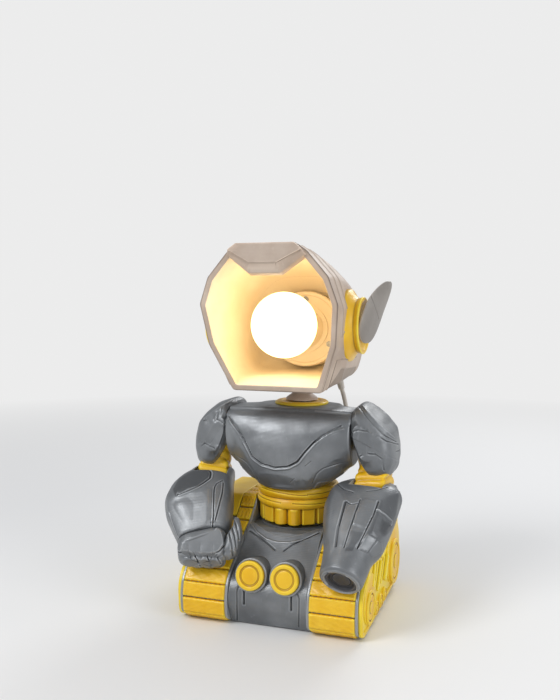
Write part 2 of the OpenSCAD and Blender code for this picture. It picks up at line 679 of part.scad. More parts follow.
// Rows: along the arm, centre, half width, depth below, depth above, exponent, tilt across the arm.
module forearm_loft(rows) {
    loft([for (r = rows) [for (q = oval(r[0], r[1], r[2], -r[3], r[4], r[5], 28)) q + [0, 0, r[6] * q[0]]]]);
}
module forearm_left_solid() {
    l = cannon_len;
    forearm_frame(cannon_yaw) difference() {
        forearm_loft([[-6, -3, 22, 11, 3, 2.4, 0], [0, -3.5, 26, 14, 8, 2.5, 0],
            [11, -2.5, 31.5, 16, 17, 2.6, 0], [22, -3, 32.5, 17.5, 22, 2.6, 0],
            [34, -3, 32.5, 18.5, 24, 2.5, 0], [l - 57.2, -2, 30.5, 19, 24.5, 2.4, 0],
            [l - 37.1, 0, 26.5, 18.5, 23, 2.2, 0], [l - 24.4, -0.5, 21.5, 17.5, 21, 2, 0],
            [l - 11.7, 0, 19.7, 17, 20, 2, 0], [l - 3.2, 0, 18.8, 16.5, 19, 2, 0],
            [l, 0, 17, 15.5, 17, 2, 0]]);
        elbow_cut();
        translate([0, 0.5, l - 4]) cylinder(r = muzzle_r + 1.5, h = 10);
        translate([0, 0.5, l - 4 - muzzle_depth]) cylinder(r = muzzle_r + seat, h = muzzle_depth + 1);
    }
}
module muzzle_left_solid() {
    forearm_frame(cannon_yaw) translate([0, 0.5, cannon_len - 4 - muzzle_depth]) {
        cylinder(r = muzzle_r, h = muzzle_depth - 1);
        difference() {
            cylinder(r = muzzle_r, h = muzzle_depth + 2);
            translate([0, 0, 1]) cylinder(r = muzzle_r - 3, h = muzzle_depth + 5);
        }
    }
}
module elbow_pin(yaw) { elbow_frame(yaw) rod_x(pin_r, -19, 20.5); }
wrist = fist_len - hand_len;    // where the gauntlet ends
rim_tilt = 0.28;                // its rim reaches further on the outer side
module forearm_right_solid() {
    mirror([1, 0, 0]) forearm_frame(-fist_yaw) difference() {
        forearm_loft([[-6, -1.2, 17.2, 11, 8, 2.4, 0], [0, 0.8, 20.2, 14, 14, 2.5, 0],
            [10, 2.2, 22.3, 16, 21, 2.6, 0], [20, 5, 26, 17, 26, 2.7, 0], [32, 7.5, 30, 18, 28, 2.8, 0],
            [44, 8.2, 31.8, 18, 28, 2.8, 0], [wrist - 24, 6.8, 30.7, 18, 27.5, 2.8, 0.03],
            [wrist - 14, 3.5, 27.5, 17.5, 25.5, 2.7, 0.12], [wrist - 4, 0.5, 23.5, 16.5, 23, 2.6, 0.24],
            [wrist, 0, 22.5, 16, 21.5, 2.6, rim_tilt]]);
        elbow_cut();
    }
}
// Ring of the hand: four fingers side by side, with grooves of the given depth between them.
function hand_ring(z, cx, a, yf, yb, depth, tilt) = let (mid = (yf + yb) / 2)
    [for (q = oval(z, cx, a, yf, yb, 3, 56))
        let (u = (q[0] - cx + a) / a * 2, g = 1 - sqrt(abs(sin(180 * u))))
            [q[0], mid + (q[1] - mid) * (1 - depth * g), z + tilt * q[0]]];
module fist_right_solid() {
    w = wrist;
    l = fist_len;
    mirror([1, 0, 0]) forearm_frame(-fist_yaw) {
        loft([hand_ring(w, 0, 20, -14, 18, 0, rim_tilt),
            hand_ring(w + 4, -0.6, 21.5, -15, 19.5, 0, 0.22),
            hand_ring(w + 10, -1, 21.6, -15, 19, 0.05, 0.12),
            hand_ring(l - 7, -1.3, 21.4, -14.5, 15.5, 0.16, 0.04),
            hand_ring(l - 2.5, -1.5, 20.8, -12.5, 10.5, 0.22, 0),
            hand_ring(l - 0.5, -1.5, 18.5, -8.5, 6, 0.25, 0)]);
        // thumb, on the inner side
        loft([oval(w - 18, -29.5, 2.5, 8, 14, 2.4, 16), oval(w - 7, -31, 4.5, 3, 17, 2.6, 16),
            oval(w + 2, -29, 7, -3, 16, 2.6, 16), oval(l - 10, -26.5, 6.5, -5, 12, 2.6, 16),
            oval(l - 4.5, -24, 4.5, -3, 8, 2.4, 16)]);
    }
}

// ---------------------------------------------------------------- cord
cord_r = cord_d / 2;
cord_exit = [30, 50, 198];
drop_pts = [cord_exit, [31.5, 53.5, 189], [33, 57, 178], [35, 61, 166], [37.5, 65, 154], [40, 69, 142],
    [42, 72.5, 130], [44, 76, 118], [45.5, 79, 108]];
rear_pts = [[45.5, 79, 108], [47, 82, 98], [48, 84, 88], [48, 85, 78], [48, 85, 66], [48, 86, 54],
    [48, 87, 43], [48, 90, 32], [48, 95, 22], [48, 101, 13], [48, 109, 6.5], [47.5, 118, 3.2],
    [45, 127, 2.6], [41, 133, 3.4], [36, 136.4, 4.8], [31, 137, 6], [26, 137, 6]];
link_pts = [[-20, 137, 6], [-28, 137, 6], [-37, 137, 6]];
coil_c = [-56, 112];
tail_pts = [[-42, 83.6, 9], [-34, 86, 8], [-26, 88, 6.8], [-18, 88, 6.8]];
function tangent(p, i) = unit(p[min(i + 1, len(p) - 1)] - p[max(i - 1, 0)]);
module tube(p) {
    loft([for (i = [0:len(p) - 1]) let (t = tangent(p, i), n = unit(cross([1, 1, 1], t)), b = cross(t, n))
        [for (k = [0:9]) p[i] + cord_r * (n * cos(36 * k) + b * sin(36 * k))]]);
}
module cord_relief_solid() {
    u = unit(drop_pts[1] - cord_exit);
    difference() {
        translate(cord_exit) rotate([0, acos(-u[2]), atan2(-u[1], -u[0])])
            cylinder(r1 = cord_r + 0.9, r2 = 5.2, h = 30);
        helmet(0, seam_v, -seat);
        helmet(seam_v, 4, -seat);
    }
}
module cord_drop_solid() { tube(drop_pts); }
module cord_rear_solid() { tube(rear_pts); tube(link_pts); }
module cord_tail_solid() { tube(tail_pts); }
module cord_coil_solid() {
    translate([coil_c[0], coil_c[1], 0.05]) rotate_extrude()
        translate([coil_r - 1.5 * cord_d, 0]) square([3 * cord_d, 3 * cord_d]);
}
module cord_tie_solid() {
    w = 3 * cord_d;
    translate([coil_c[0] - coil_r, coil_c[1], 0.05]) difference() {
        translate([-w / 2 - 1.6, -4, 0]) cube([w + 3.2, 8, w + 1.3]);
        translate([-w / 2 - 0.5, -5, -1]) cube([w + 1, 10, w + 1.1]);
    }
}
switch_c = [3, 137];
switch_l = 46;
module switch_housing_solid() {
    translate([switch_c[0], switch_c[1], 0]) difference() {
        union() {
            linear_extrude(15) polygon([[-23, -6], [-15, -11], [15, -11], [23, -6],
                [23, 6], [15, 11], [-15, 11], [-23, 6]]);
        }
        translate([-10, -6, 8]) cube([20, 12, 10]);
        translate([0, 20, 12]) rotate([90, 0, 0]) cylinder(r = 1 + play, h = 40);
    }
}
module switch_rocker_solid() {
    translate([switch_c[0], switch_c[1], 12]) rotate([0, 7, 0]) {
        rotate([90, 0, 0]) translate([0, 0, -5.6]) linear_extrude(11.2)
            polygon([[-9, 0.8], [-4, -1.6], [4, -1.6], [9, 0.8], [9, 3.4], [0, 4.6], [-9, 3.4]]);
        rotate([90, 0, 0]) translate([0, 0, -9]) cylinder(r = 1, h = 18);
    }
}
plug_c = [-6, 88, 6.8];
module plug_body_solid() {
    translate(plug_c) {
        translate([0, 0, -6.6]) linear_extrude(13.2) polygon([[0, -6], [7, -13], [28, -13],
            [28, 13], [7, 13], [0, 6]]);
        translate([-12, 0, 0]) rotate([0, 90, 0]) cylinder(r1 = cord_r + 0.8, r2 = 5, h = 12);
    }
}
module plug_pins_solid() {
    for (s = [-1, 1]) translate(plug_c + [28, 9.5 * s, 0]) rotate([0, 90, 0]) {
        cylinder(r = 2, h = 17);
        translate([0, 0, 17]) cylinder(r1 = 2, r2 = 1.2, h = 2);
    }
}

// ---------------------------------------------------------------- pieces
grey = [0.52, 0.53, 0.55];
pale = [0.78, 0.76, 0.73];
yellow = [0.88, 0.72, 0.16];
white = [0.94, 0.93, 0.9];
dark = [0.25, 0.26, 0.28];
steel = [0.7, 0.71, 0.73];
brass = [0.8, 0.68, 0.35];
module hull() { color(grey) hull_solid(); }
module front_plate() { color(grey) front_plate_solid(); }
module base_plate() { color(dark) base_plate_solid(); }
module base_screws() { color(steel) base_screws_solid(); }
module track_left() { color(grey) track_core(); }
module track_right() { color(grey) mirror([1, 0, 0]) track_core(); }
module track_pads_left() { color(yellow) track_pads(); }
module track_pads_right() { color(yellow) mirror([1, 0, 0]) track_pads(); }
module fender_left() { color(yellow) fender(); }
module fender_right() { color(yellow) mirror([1, 0, 0]) fender(); }
module side_skirt_left() { color(yellow) side_skirt(); }
module side_skirt_right() { color(yellow) mirror([1, 0, 0]) side_skirt(); }
module skirt_wheels_left() { color(yellow) skirt_wheels(); }
module skirt_wheels_right() { color(yellow) mirror([1, 0, 0]) skirt_wheels(); }
module headlight_housings() { color(grey) headlight_housings_solid(); }
module headlight_caps() { color(yellow) headlight_caps_solid(); }
module waist() { color(yellow) waist_solid(); }
module torso_front() { color(grey) torso_front_solid(); }
module torso_back() { color(grey) torso_back_solid(); }
module torso_screws() { color(steel) torso_screws_solid(); }
module neck_collar() { color(yellow) neck_collar_solid(); }
module neck_spool() { color(grey) neck_spool_solid(); }
module neck_clamp() { color(steel) neck_clamp_solid(); }
module head_shell() { color(pale) head_shell_solid(); }
module head_back() { color(pale) head_back_solid(); }
module head_screws() { color(steel) head_screws_solid(); }
module brow_visor() { color(pale) brow_visor_solid(); }
module ear_hub_left() { color(yellow) ear_hub(); }
module ear_hub_right() { color(yellow) mirror([1, 0, 0]) ear_hub(); }
module ear_fin_left() { color(grey) ear_fin(); }
module ear_fin_right() { color(grey) mirror([1, 0, 0]) ear_fin(); }
module reflector() { color(white) reflector_solid(); }
module reflector_screws() { color(steel) reflector_screws_solid(); }
module lamp_holder() { color(white) lamp_holder_solid(); }
module holder_contacts() { color(brass) holder_contacts_solid(); }
module bulb_globe() { color(white) bulb_globe_solid(); }
module bulb_neck() { color(white) bulb_neck_solid(); }
module bulb_cap() { color(steel) bulb_cap_solid(); }
module arm_core_left() { color(yellow) arm_core(cannon_yaw); }
module shoulder_armor_left() { color(grey) shoulder_armor(); }
module shoulder_bolt_left() { color(steel) shoulder_bolt(); }
module forearm_left() { color(grey) forearm_left_solid(); }
module muzzle_left() { color(dark) muzzle_left_solid(); }
module elbow_pin_left() { color(steel) elbow_pin(cannon_yaw); }
module arm_core_right() { color(yellow) mirror([1, 0, 0]) arm_core(-fist_yaw); }
module shoulder_armor_right() { color(grey) mirror([1, 0, 0]) shoulder_armor(); }
module shoulder_bolt_right() { color(steel) mirror([1, 0, 0]) shoulder_bolt(); }
module forearm_right() { color(grey) forearm_right_solid(); }
module fist_right() { color(grey) fist_right_solid(); }
module elbow_pin_right() { color(steel) mirror([1, 0, 0]) elbow_pin(-fist_yaw); }
module cord_relief() { color(white) cord_relief_solid(); }
module cord_drop() { color(white) cord_drop_solid(); }
module cord_rear() { color(white) cord_rear_solid(); }
module switch_housing() { color(white) switch_housing_solid(); }
module switch_rocker() { color(dark) switch_rocker_solid(); }
module cord_coil() { color(white) cord_coil_solid(); }
module cord_tie() { color(dark) cord_tie_solid(); }
module cord_tail() { color(white) cord_tail_solid(); }
module plug_body() { color(white) plug_body_solid(); }
module plug_pins() { color(brass) plug_pins_solid(); }

hull();
front_plate();
base_plate();
base_screws();
track_left();
track_right();
track_pads_left();
track_pads_right();
fender_left();
fender_right();
side_skirt_left();
side_skirt_right();
skirt_wheels_left();
skirt_wheels_right();
headlight_housings();
headlight_caps();
waist();
torso_front();
torso_back();
torso_screws();
neck_collar();
neck_spool();
neck_clamp();
head_shell();
head_back();
head_screws();
brow_visor();
ear_hub_left();
ear_hub_right();
ear_fin_left();
ear_fin_right();
reflector();
reflector_screws();
lamp_holder();
holder_contacts();
bulb_globe();
bulb_neck();
bulb_cap();
arm_core_left();
shoulder_armor_left();
shoulder_bolt_left();
forearm_left();
muzzle_left();
elbow_pin_left();
arm_core_right();
shoulder_armor_right();
shoulder_bolt_right();
forearm_right();
fist_right();
elbow_pin_right();
cord_relief();
cord_drop();
cord_rear();
switch_housing();
switch_rocker();
cord_coil();
cord_tie();
cord_tail();
plug_body();
plug_pins();
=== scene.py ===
import json
import math

import bmesh
import bpy
import numpy as np
from mathutils import Euler, Matrix, Vector, kdtree
from mathutils.bvhtree import BVHTree


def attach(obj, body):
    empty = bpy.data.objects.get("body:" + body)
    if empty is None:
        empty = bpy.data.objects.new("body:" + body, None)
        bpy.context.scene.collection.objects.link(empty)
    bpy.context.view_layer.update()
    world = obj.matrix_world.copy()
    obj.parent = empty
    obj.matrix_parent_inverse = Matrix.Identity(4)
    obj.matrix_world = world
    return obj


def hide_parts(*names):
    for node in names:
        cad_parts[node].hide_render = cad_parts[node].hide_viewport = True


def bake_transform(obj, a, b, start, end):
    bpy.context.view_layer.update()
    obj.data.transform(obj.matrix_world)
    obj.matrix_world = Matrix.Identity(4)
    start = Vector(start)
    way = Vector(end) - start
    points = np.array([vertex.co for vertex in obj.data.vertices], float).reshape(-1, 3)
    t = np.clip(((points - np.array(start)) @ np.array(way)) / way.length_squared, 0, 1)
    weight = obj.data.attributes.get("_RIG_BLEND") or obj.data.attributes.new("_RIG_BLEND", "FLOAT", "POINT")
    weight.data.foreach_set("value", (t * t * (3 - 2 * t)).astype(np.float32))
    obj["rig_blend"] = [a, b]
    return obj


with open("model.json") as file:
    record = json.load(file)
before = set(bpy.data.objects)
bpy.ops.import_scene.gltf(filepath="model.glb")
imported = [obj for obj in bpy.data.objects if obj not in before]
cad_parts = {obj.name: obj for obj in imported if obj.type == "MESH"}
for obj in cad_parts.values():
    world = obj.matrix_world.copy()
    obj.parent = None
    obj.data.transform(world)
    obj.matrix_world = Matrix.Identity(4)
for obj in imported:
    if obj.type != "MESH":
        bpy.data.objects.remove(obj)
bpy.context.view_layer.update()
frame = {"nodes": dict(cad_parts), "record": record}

# The script works in millimetres and scales each finished mesh to metres.
MM = 0.001
SCENE = bpy.context.scene
SCENE.view_settings.view_transform = "Standard"
BODY_OF = {n: b for b, nodes in frame["record"]["behaviour"]["bodies"].items() for n in nodes}
MIRROR_X = Matrix.Scale(-1, 4, (1, 0, 0))


def translation(x, y, z):
    return Matrix.Translation((x, y, z))


def rotation(degrees, axis):
    return Matrix.Rotation(math.radians(degrees), 4, axis)


def link(name, data):
    """Puts a new object with this mesh, camera or light into the scene."""
    obj = bpy.data.objects.new(name, data)
    SCENE.collection.objects.link(obj)
    return obj


# ---------------------------------------------------------------- camera
LENS, SENSOR = 41.14, 36.0
FRAME_W, FRAME_H = 560, 700
EYE = Vector((230, -731, 293))
TURN = Euler((math.radians(86), 0, math.radians(18.8))).to_matrix()
FOCAL = LENS / SENSOR * FRAME_H
# The enlarged window of the camera's frame that some lines were drawn in.
WINDOW_LEFT, WINDOW_TOP, WINDOW_SCALE = 160, 380, 5.5556


def make_camera():
    data = bpy.data.cameras.new("camera")
    data.sensor_fit = "AUTO"
    data.sensor_width = SENSOR
    data.lens = LENS
    data.clip_start = 0.01
    camera = link("camera", data)
    camera.location = EYE * MM
    camera.rotation_euler = TURN.to_euler()
    SCENE.camera = camera


def to_pixels(points):
    """Where points, in mm, lie in the camera's frame."""
    q = (np.asarray(points, float) - np.array(EYE)) @ np.array(TURN)
    x, y = FOCAL * q[:, 0] / -q[:, 2], FOCAL * q[:, 1] / -q[:, 2]
    return np.stack([FRAME_W / 2 + x, FRAME_H / 2 - y], -1)


def drawn(*lines):
    """Lines from the enlarged window, in pixels of the camera's frame."""
    return [[(x / WINDOW_SCALE + WINDOW_LEFT, y / WINDOW_SCALE + WINDOW_TOP) for x, y in line]
            for line in lines]


make_camera()


# ---------------------------------------------------------------- curves and tables
def spow(v, e):
    return np.sign(v) * np.abs(v) ** e


def unit(v):
    return np.asarray(v, float) / np.linalg.norm(v)


def arc(centre, r, a0, a1, n):
    t = np.radians(np.linspace(a0, a1, n + 1))
    return [(centre[0] + r * math.cos(a), centre[1] + r * math.sin(a)) for a in t]


def round_angles(n):
    return np.linspace(0, 2 * np.pi, n, endpoint=False)


def ring_rows(angles, r, z):
    """A ring at height z; r is one radius or one for each angle."""
    return np.stack([r * np.cos(angles), r * np.sin(angles), np.full(len(angles), float(z))], -1)


def distances(points):
    """How far along a line each of its points lies."""
    return np.concatenate([[0], np.cumsum(np.linalg.norm(np.diff(points, axis=0), axis=1))])


def along(points, distance, at):
    """Points of a line at other distances."""
    return np.stack([np.interp(at, distance, points[:, k]) for k in range(points.shape[1])], -1)


def hermite(keys, rows, slopes, x):
    """Cubic curves through the rows at the keys, with the given slopes there."""
    i = np.clip(np.searchsorted(keys, x) - 1, 0, len(keys) - 2)
    h = (keys[i + 1] - keys[i])[:, None]
    t = (x - keys[i])[:, None] / h
    return ((1 + 2 * t) * (1 - t) ** 2 * rows[i] + t * (1 - t) ** 2 * h * slopes[i]
            + t * t * (3 - 2 * t) * rows[i + 1] + t * t * (t - 1) * h * slopes[i + 1])


def smooth_at(keys, rows, x):
    """Smooth values of a table's rows at x, that never pass the table's own values."""
    keys, rows, x = np.asarray(keys, float), np.asarray(rows, float), np.asarray(x, float)
    rows = rows.reshape(len(keys), -1)
    slope = np.diff(rows, axis=0) / np.diff(keys)[:, None]
    same = slope[:-1] * slope[1:] > 0
    total = np.where(same, slope[:-1] + slope[1:], 1)
    middle = np.where(same, 2 * slope[:-1] * slope[1:] / total, 0)
    return hermite(keys, rows, np.vstack([slope[:1], middle, slope[-1:]]), x)


def smooth_path(keys, points, at):
    """Catmull-Rom line through the points."""
    ahead, behind = np.vstack([points[1:], points[-1:]]), np.vstack([points[:1], points[:-1]])
    step = np.append(keys[1:], keys[-1]) - np.append(keys[0], keys[:-1])
    return hermite(keys, points, (ahead - behind) / step[:, None], at)


def column(rows, x):
    """Smooth values at x of a table with rows of key and value."""
    keys, values = zip(*rows)
    return smooth_at(keys, values, x)[:, 0]


def even(points, n, closed=True):
    """n points at equal steps along a line or ring."""
    p = np.asarray(points, float)
    if closed:
        p = np.vstack([p, p[:1]])
    s = distances(p)
    at = np.linspace(0, s[-1], n + 1)[:-1] if closed else np.linspace(0, s[-1], n)
    return along(p, s, at)


def blurred(points, sigma, closed=True):
    """The line or ring with its corners rounded over about sigma points."""
    p = np.asarray(points, float)
    if sigma <= 0:
        return p
    k = int(3 * sigma) + 1
    w = np.exp(-0.5 * (np.arange(-k, k + 1) / sigma) ** 2)
    w /= w.sum()
    if closed:
        pad = np.concatenate([p[-k:], p, p[:k]])
    else:
        pad = np.concatenate([2 * p[:1] - p[k:0:-1], p, 2 * p[-1:] - p[-2:-k - 2:-1]])
    return sum(w[j] * pad[j:j + len(p)] for j in range(2 * k + 1))


def filleted(profile, r, steps=4):
    """An open profile with its corners rounded by about r."""
    p = [np.array(q, float) for q in profile]
    out = [p[0]]
    for a, b, c in zip(p, p[1:], p[2:]):
        la, lc = np.linalg.norm(a - b), np.linalg.norm(c - b)
        d = min(r, 0.45 * la, 0.45 * lc)
        s, e = b + (a - b) / la * d, b + (c - b) / lc * d
        for t in np.arange(steps + 1) / steps:
            out.append((1 - t) ** 2 * s + 2 * t * (1 - t) * b + t * t * e)
    out.append(p[-1])
    return out


def oval(z, cx, a, yf, yb, p, n):
    """Super-ellipse ring at height z, with even steps."""
    t = round_angles(4 * n)
    x = cx + a * spow(np.cos(t), 2 / p)
    y = (yf + yb) / 2 + (yb - yf) / 2 * spow(np.sin(t), 2 / p)
    return even(np.stack([x, y, np.full_like(x, z)], -1), n)


def smoothstep(x):
    x = np.clip(x, 0, 1)
    return x * x * (3 - 2 * x)


def inside_by(points, polygon):
    """Distance to the polygon's edge, positive inside it, for points in the plane."""
    p, q = np.asarray(points, float), np.asarray(polygon, float)
    best = np.full(len(p), 1e9)
    inside = np.zeros(len(p), bool)
    for s, e in zip(q, np.roll(q, -1, axis=0)):
        d = e - s
        t = np.clip(((p - s) @ d) / (d @ d), 0, 1)
        best = np.minimum(best, np.linalg.norm(p - s - t[:, None] * d, axis=1))
        cross = (s[1] > p[:, 1]) != (e[1] > p[:, 1])
        at = s[0] + (p[:, 1] - s[1]) * d[0] / (d[1] or 1e-9)
        inside ^= cross & (p[:, 0] < at)
    return np.where(inside, best, -best)


def inset(ring, t, closed=True):
    """A clockwise ring or path in (y, z), moved inward by t."""
    p = np.asarray(ring, float)
    d = np.roll(p, -1, axis=0) - np.roll(p, 1, axis=0) if closed else np.gradient(p, axis=0)
    d /= np.linalg.norm(d, axis=1)[:, None]
    return p + t * np.stack([d[:, 1], -d[:, 0]], -1)


# ---------------------------------------------------------------- surfaces
# Size of each ring of a flat end, against the end's edge.
END_RINGS = (0.93, 0.8, 0.6, 0.4, 0.2)
# A traced line ends where the surface jumps by more than this; a groove has a sample each GROOVE_STEP.
TRACE_GAP, GROOVE_STEP = 25, 0.35


def rounded_end(rows, r, steps=5):
    """Rows whose last ring gets a round edge of radius r and a flat end, shrinking to its middle."""
    last = rows[-1]
    c = last.mean(0)
    spread = np.linalg.norm(last - c, axis=1).mean()
    axis = unit(c - rows[-2].mean(0))
    out = [q for q in rows if (c - q.mean(0)) @ axis > r * 1.15]
    for a in np.linspace(0, math.pi / 2, steps):
        out.append(c + (last - c) * (1 - r * (1 - math.cos(a)) / spread) - axis * r * (1 - math.sin(a)))
    flat = out[-1]
    return out + [c + (flat - c) * k for k in END_RINGS]


def closed_rows(rows, r0, r1):
    """Rows of a tube with both ends rounded, by r0 and r1, and closed."""
    rows = rounded_end([np.asarray(q, float) for q in rows], r1)
    return rounded_end(rows[::-1], r0)[::-1]


class Skin:
    """A dense closed surface in mm, that can be carved before it becomes a piece."""

    def __init__(self, bm=None):
        self.bm = bm or bmesh.new()

    @classmethod
    def of_rows(cls, rows, ends=(True, True), wrap=False):
        """A skin through rings of equal length; ends are closed with a point, wrap joins last to first."""
        bm = bmesh.new()
        rings = [[bm.verts.new(p) for p in ring] for ring in rows]
        pairs = list(zip(rings, rings[1:])) + ([(rings[-1], rings[0])] if wrap else [])
        for a, b in pairs:
            n = len(a)
            for k in range(n):
                bm.faces.new((a[k], a[(k + 1) % n], b[(k + 1) % n], b[k]))
        if not wrap:
            for ring, wanted, flip in ((rings[0], ends[0], True), (rings[-1], ends[1], False)):
                if wanted:
                    mid = bm.verts.new(sum((v.co for v in ring), Vector()) / len(ring))
                    for k in range(len(ring)):
                        u, v = ring[k], ring[(k + 1) % len(ring)]
                        bm.faces.new((v, u, mid) if flip else (u, v, mid))
        bmesh.ops.recalc_face_normals(bm, faces=bm.faces)
        bm.normal_update()
        return cls(bm)

    @classmethod
    def prism(cls, profile, x0, x1, bevel=0.6, segments=3):
        """A profile in the YZ plane, extruded from x0 to x1 with round edges."""
        bm = bmesh.new()
        face = bm.faces.new([bm.verts.new((x0, y, z)) for y, z in profile])
        made = bmesh.ops.extrude_face_region(bm, geom=[face])
        far = [g for g in made["geom"] if isinstance(g, bmesh.types.BMVert)]
        bmesh.ops.translate(bm, vec=(x1 - x0, 0, 0), verts=far)
        bmesh.ops.recalc_face_normals(bm, faces=bm.faces)
        return cls(bm).round_edges(bevel, segments)

    @classmethod
    def turned(cls, profile, n=96, wrap=False):
        """A profile of (radius, height) turned about Z."""
        return cls.of_rows([ring_rows(round_angles(n), r, z) for r, z in profile], wrap=wrap)

    def round_edges(self, bevel, segments=2, angle=35):
        if bevel:
            sharp = [e for e in self.bm.edges if e.calc_face_angle(0) > math.radians(angle)]
            bmesh.ops.bevel(self.bm, geom=sharp, offset=bevel, segments=segments, profile=0.5,
                            affect="EDGES", clamp_overlap=True)
        self.bm.normal_update()
        return self

    def flip(self):
        """Turns the surface inside out."""
        bmesh.ops.reverse_faces(self.bm, faces=self.bm.faces)
        self.bm.normal_update()
        return self

    def moved(self, matrix):
        bmesh.ops.transform(self.bm, matrix=matrix, verts=self.bm.verts)
        if matrix.determinant() < 0:
            return self.flip()
        self.bm.normal_update()
        return self

    def copy(self):
        return Skin(self.bm.copy())

    def mirrored(self):
        return self.copy().moved(MIRROR_X)

    def mesh(self, name):
        mesh = bpy.data.meshes.new(name)
        self.bm.to_mesh(mesh)
        return mesh

    def add(self, other):
        mesh = other.mesh("part")
        self.bm.from_mesh(mesh)
        bpy.data.meshes.remove(mesh)
        self.bm.normal_update()
        return self

    def arrays(self):
        """Places and normals of the points."""
        co = np.array([v.co for v in self.bm.verts])
        no = np.array([v.normal for v in self.bm.verts])
        return co, no

    def place(self, co):
        for v, p in zip(self.bm.verts, co):
            v.co = p
        self.bm.normal_update()
        return self

    def tree(self):
        return BVHTree.FromBMesh(self.bm)

    def traces(self, lines):
        """For each line of camera pixels, the points of the surface under it."""
        tree = self.tree()
        out = []
        for pixels in lines:
            points = []
            for x, y in even(pixels, max(2, 4 * len(pixels)), closed=False):
                ray = TURN @ Vector(((x - FRAME_W / 2) / FOCAL, (FRAME_H / 2 - y) / FOCAL, -1))
                hit = tree.ray_cast(EYE, ray)[0]
                if hit and (not points or (Vector(points[-1]) - hit).length < TRACE_GAP):
                    points.append(tuple(hit))
            out.append(points)
        return out

    def carve(self, lines, width, depth):
        """Presses grooves along lines of points near the surface; a negative depth raises ridges."""
        tree, samples = self.tree(), []
        for line in lines:
            if len(line) > 1:
                count = max(3, int(distances(line)[-1] / GROOVE_STEP))
                samples += [tree.find_nearest(Vector(p))[0] for p in even(line, count, closed=False)]
        if not samples:
            return self
        near = kdtree.KDTree(len(samples))
        for i, p in enumerate(samples):
            near.insert(p, i)
        near.balance()
        edges = [e for e in self.bm.edges if e.calc_length() > 0.4 * width
                 and near.find((e.verts[0].co + e.verts[1].co) / 2)[2] < width * 1.2 + 0.4]
        bmesh.ops.subdivide_edges(self.bm, edges=edges, cuts=1, use_grid_fill=True)
        self.bm.normal_update()
        moves = []
        for v in self.bm.verts:
            d = near.find(v.co)[2]
            if d < width:
                moves.append((v, v.normal * (-depth * (1 - (d / width) ** 2) ** 2)))
        for v, move in moves:
            v.co += move
        self.bm.normal_update()
        return self

    def carve_all(self, *sets):
        """Carves sets of lines, each with its width and depth, one after another."""
        for lines, width, depth in sets:
            self.carve(lines, width, depth)
        return self

    def lift(self, weight, height):
        """Moves each point along its normal by height times its weight."""
        co, no = self.arrays()
        return self.place(co + no * (weight * height)[:, None])

    def within(self, pixels, soft, margin=0.5):
        """Weights of the part that faces the camera inside a pixel outline, soft at its edge."""
        co, no = self.arrays()
        toward = ((np.array(EYE) - co) * no).sum(1) > 0
        return smoothstep(inside_by(to_pixels(co), pixels) / soft + margin) * toward

    def flatten(self, pixels, strength, most, soft):
        """Turns the part inside a pixel outline into a nearly flat facet, moving it by most at most."""
        co, no = self.arrays()
        w = self.within(pixels, soft, 0)
        core = w > 0.5
        if core.sum() < 20:
            return self
        mid = co[core].mean(0)
        axes = np.linalg.svd(co[core] - mid, full_matrices=False)[2]
        n = axes[2] * np.sign(axes[2] @ no[core].mean(0))
        drop = np.clip((mid - co) @ n, -most, most) * strength
        return self.place(co + n * (drop * w)[:, None])

    def shade(self, pixels, amount, soft=1.0):
        """Paints the part inside a pixel outline darker, or lighter below 0."""
        return self.tint(self.within(pixels, soft) * amount)

    def tint(self, amounts):
        layers = self.bm.verts.layers.float
        layer = layers.get("shade") or layers.new("shade")
        for v, amount in zip(self.bm.verts, amounts):
            v[layer] += amount
        return self

    def roughen(self, size, height, seed=0.0):
        """Slow unevenness of a hand finished print."""
        x, y, z = (self.arrays()[0] / size + seed).T
        return self.lift(np.sin(x * 1.7 + np.sin(y * 1.3 + seed)) * np.sin(y * 1.9 + np.sin(z * 1.1))
                         * np.cos(z * 1.6 + np.sin(x * 1.4)), height)

    def cut(self, other):
        """Takes the other skin's space away."""
        made = [link("cut", skin.mesh("cut")) for skin in (self, other)]
        mod = made[0].modifiers.new("cut", "BOOLEAN")
        mod.operation, mod.solver, mod.object = "DIFFERENCE", "EXACT", made[1]
        return self.take(made)

    def remeshed(self, voxel, smooth):
        """One closed skin round everything in it, with soft joints."""
        obj = link("remesh", self.mesh("remesh"))
        mod = obj.modifiers.new("remesh", "REMESH")
        mod.mode, mod.voxel_size = "VOXEL", voxel
        soft = obj.modifiers.new("soft", "SMOOTH")
        soft.factor, soft.iterations = 0.5, smooth
        return self.take([obj])

    def take(self, made):
        """Becomes what the first object's modifiers make of it, and removes the objects."""
        bpy.context.view_layer.update()
        result = made[0].evaluated_get(bpy.context.evaluated_depsgraph_get())
        self.bm.clear()
        self.bm.from_mesh(result.to_mesh())
        result.to_mesh_clear()
        for obj in made:
            mesh = obj.data
            bpy.data.objects.remove(obj)
            bpy.data.meshes.remove(mesh)
        self.bm.normal_update()
        return self

    def piece(self, name, paint, sharp=None):
        """The skin as an object in metres; edges bent by more than sharp degrees stay sharp."""
        mesh = self.mesh(name)
        mesh.shade_smooth()
        if sharp:
            mesh.set_sharp_from_angle(angle=math.radians(sharp))
        write_relief(mesh)
        mesh.transform(Matrix.Scale(MM, 4))
        mesh.materials.append(PAINTS[paint])
        return link(name, mesh)

    def publish(self, name, slot, nodes=(), body=None, paint=None, sharp=None):
        """Makes the skin a piece of the scene that stands for the CAD nodes."""
        obj = self.piece(name, paint or slot, sharp)
        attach(obj, body or BODY_OF[nodes[0]])
        if nodes:
            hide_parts(*nodes)


def publish_pairs(*parts):
    """Publishes each skin as a left piece and its mirror image as the right one."""
    for side in ("left", "right"):
        for skin, name, slot, node, sharp in parts:
            skin = skin if side == "left" else skin.mirrored()
            skin.publish(name + side, slot, [node + side], sharp=sharp)


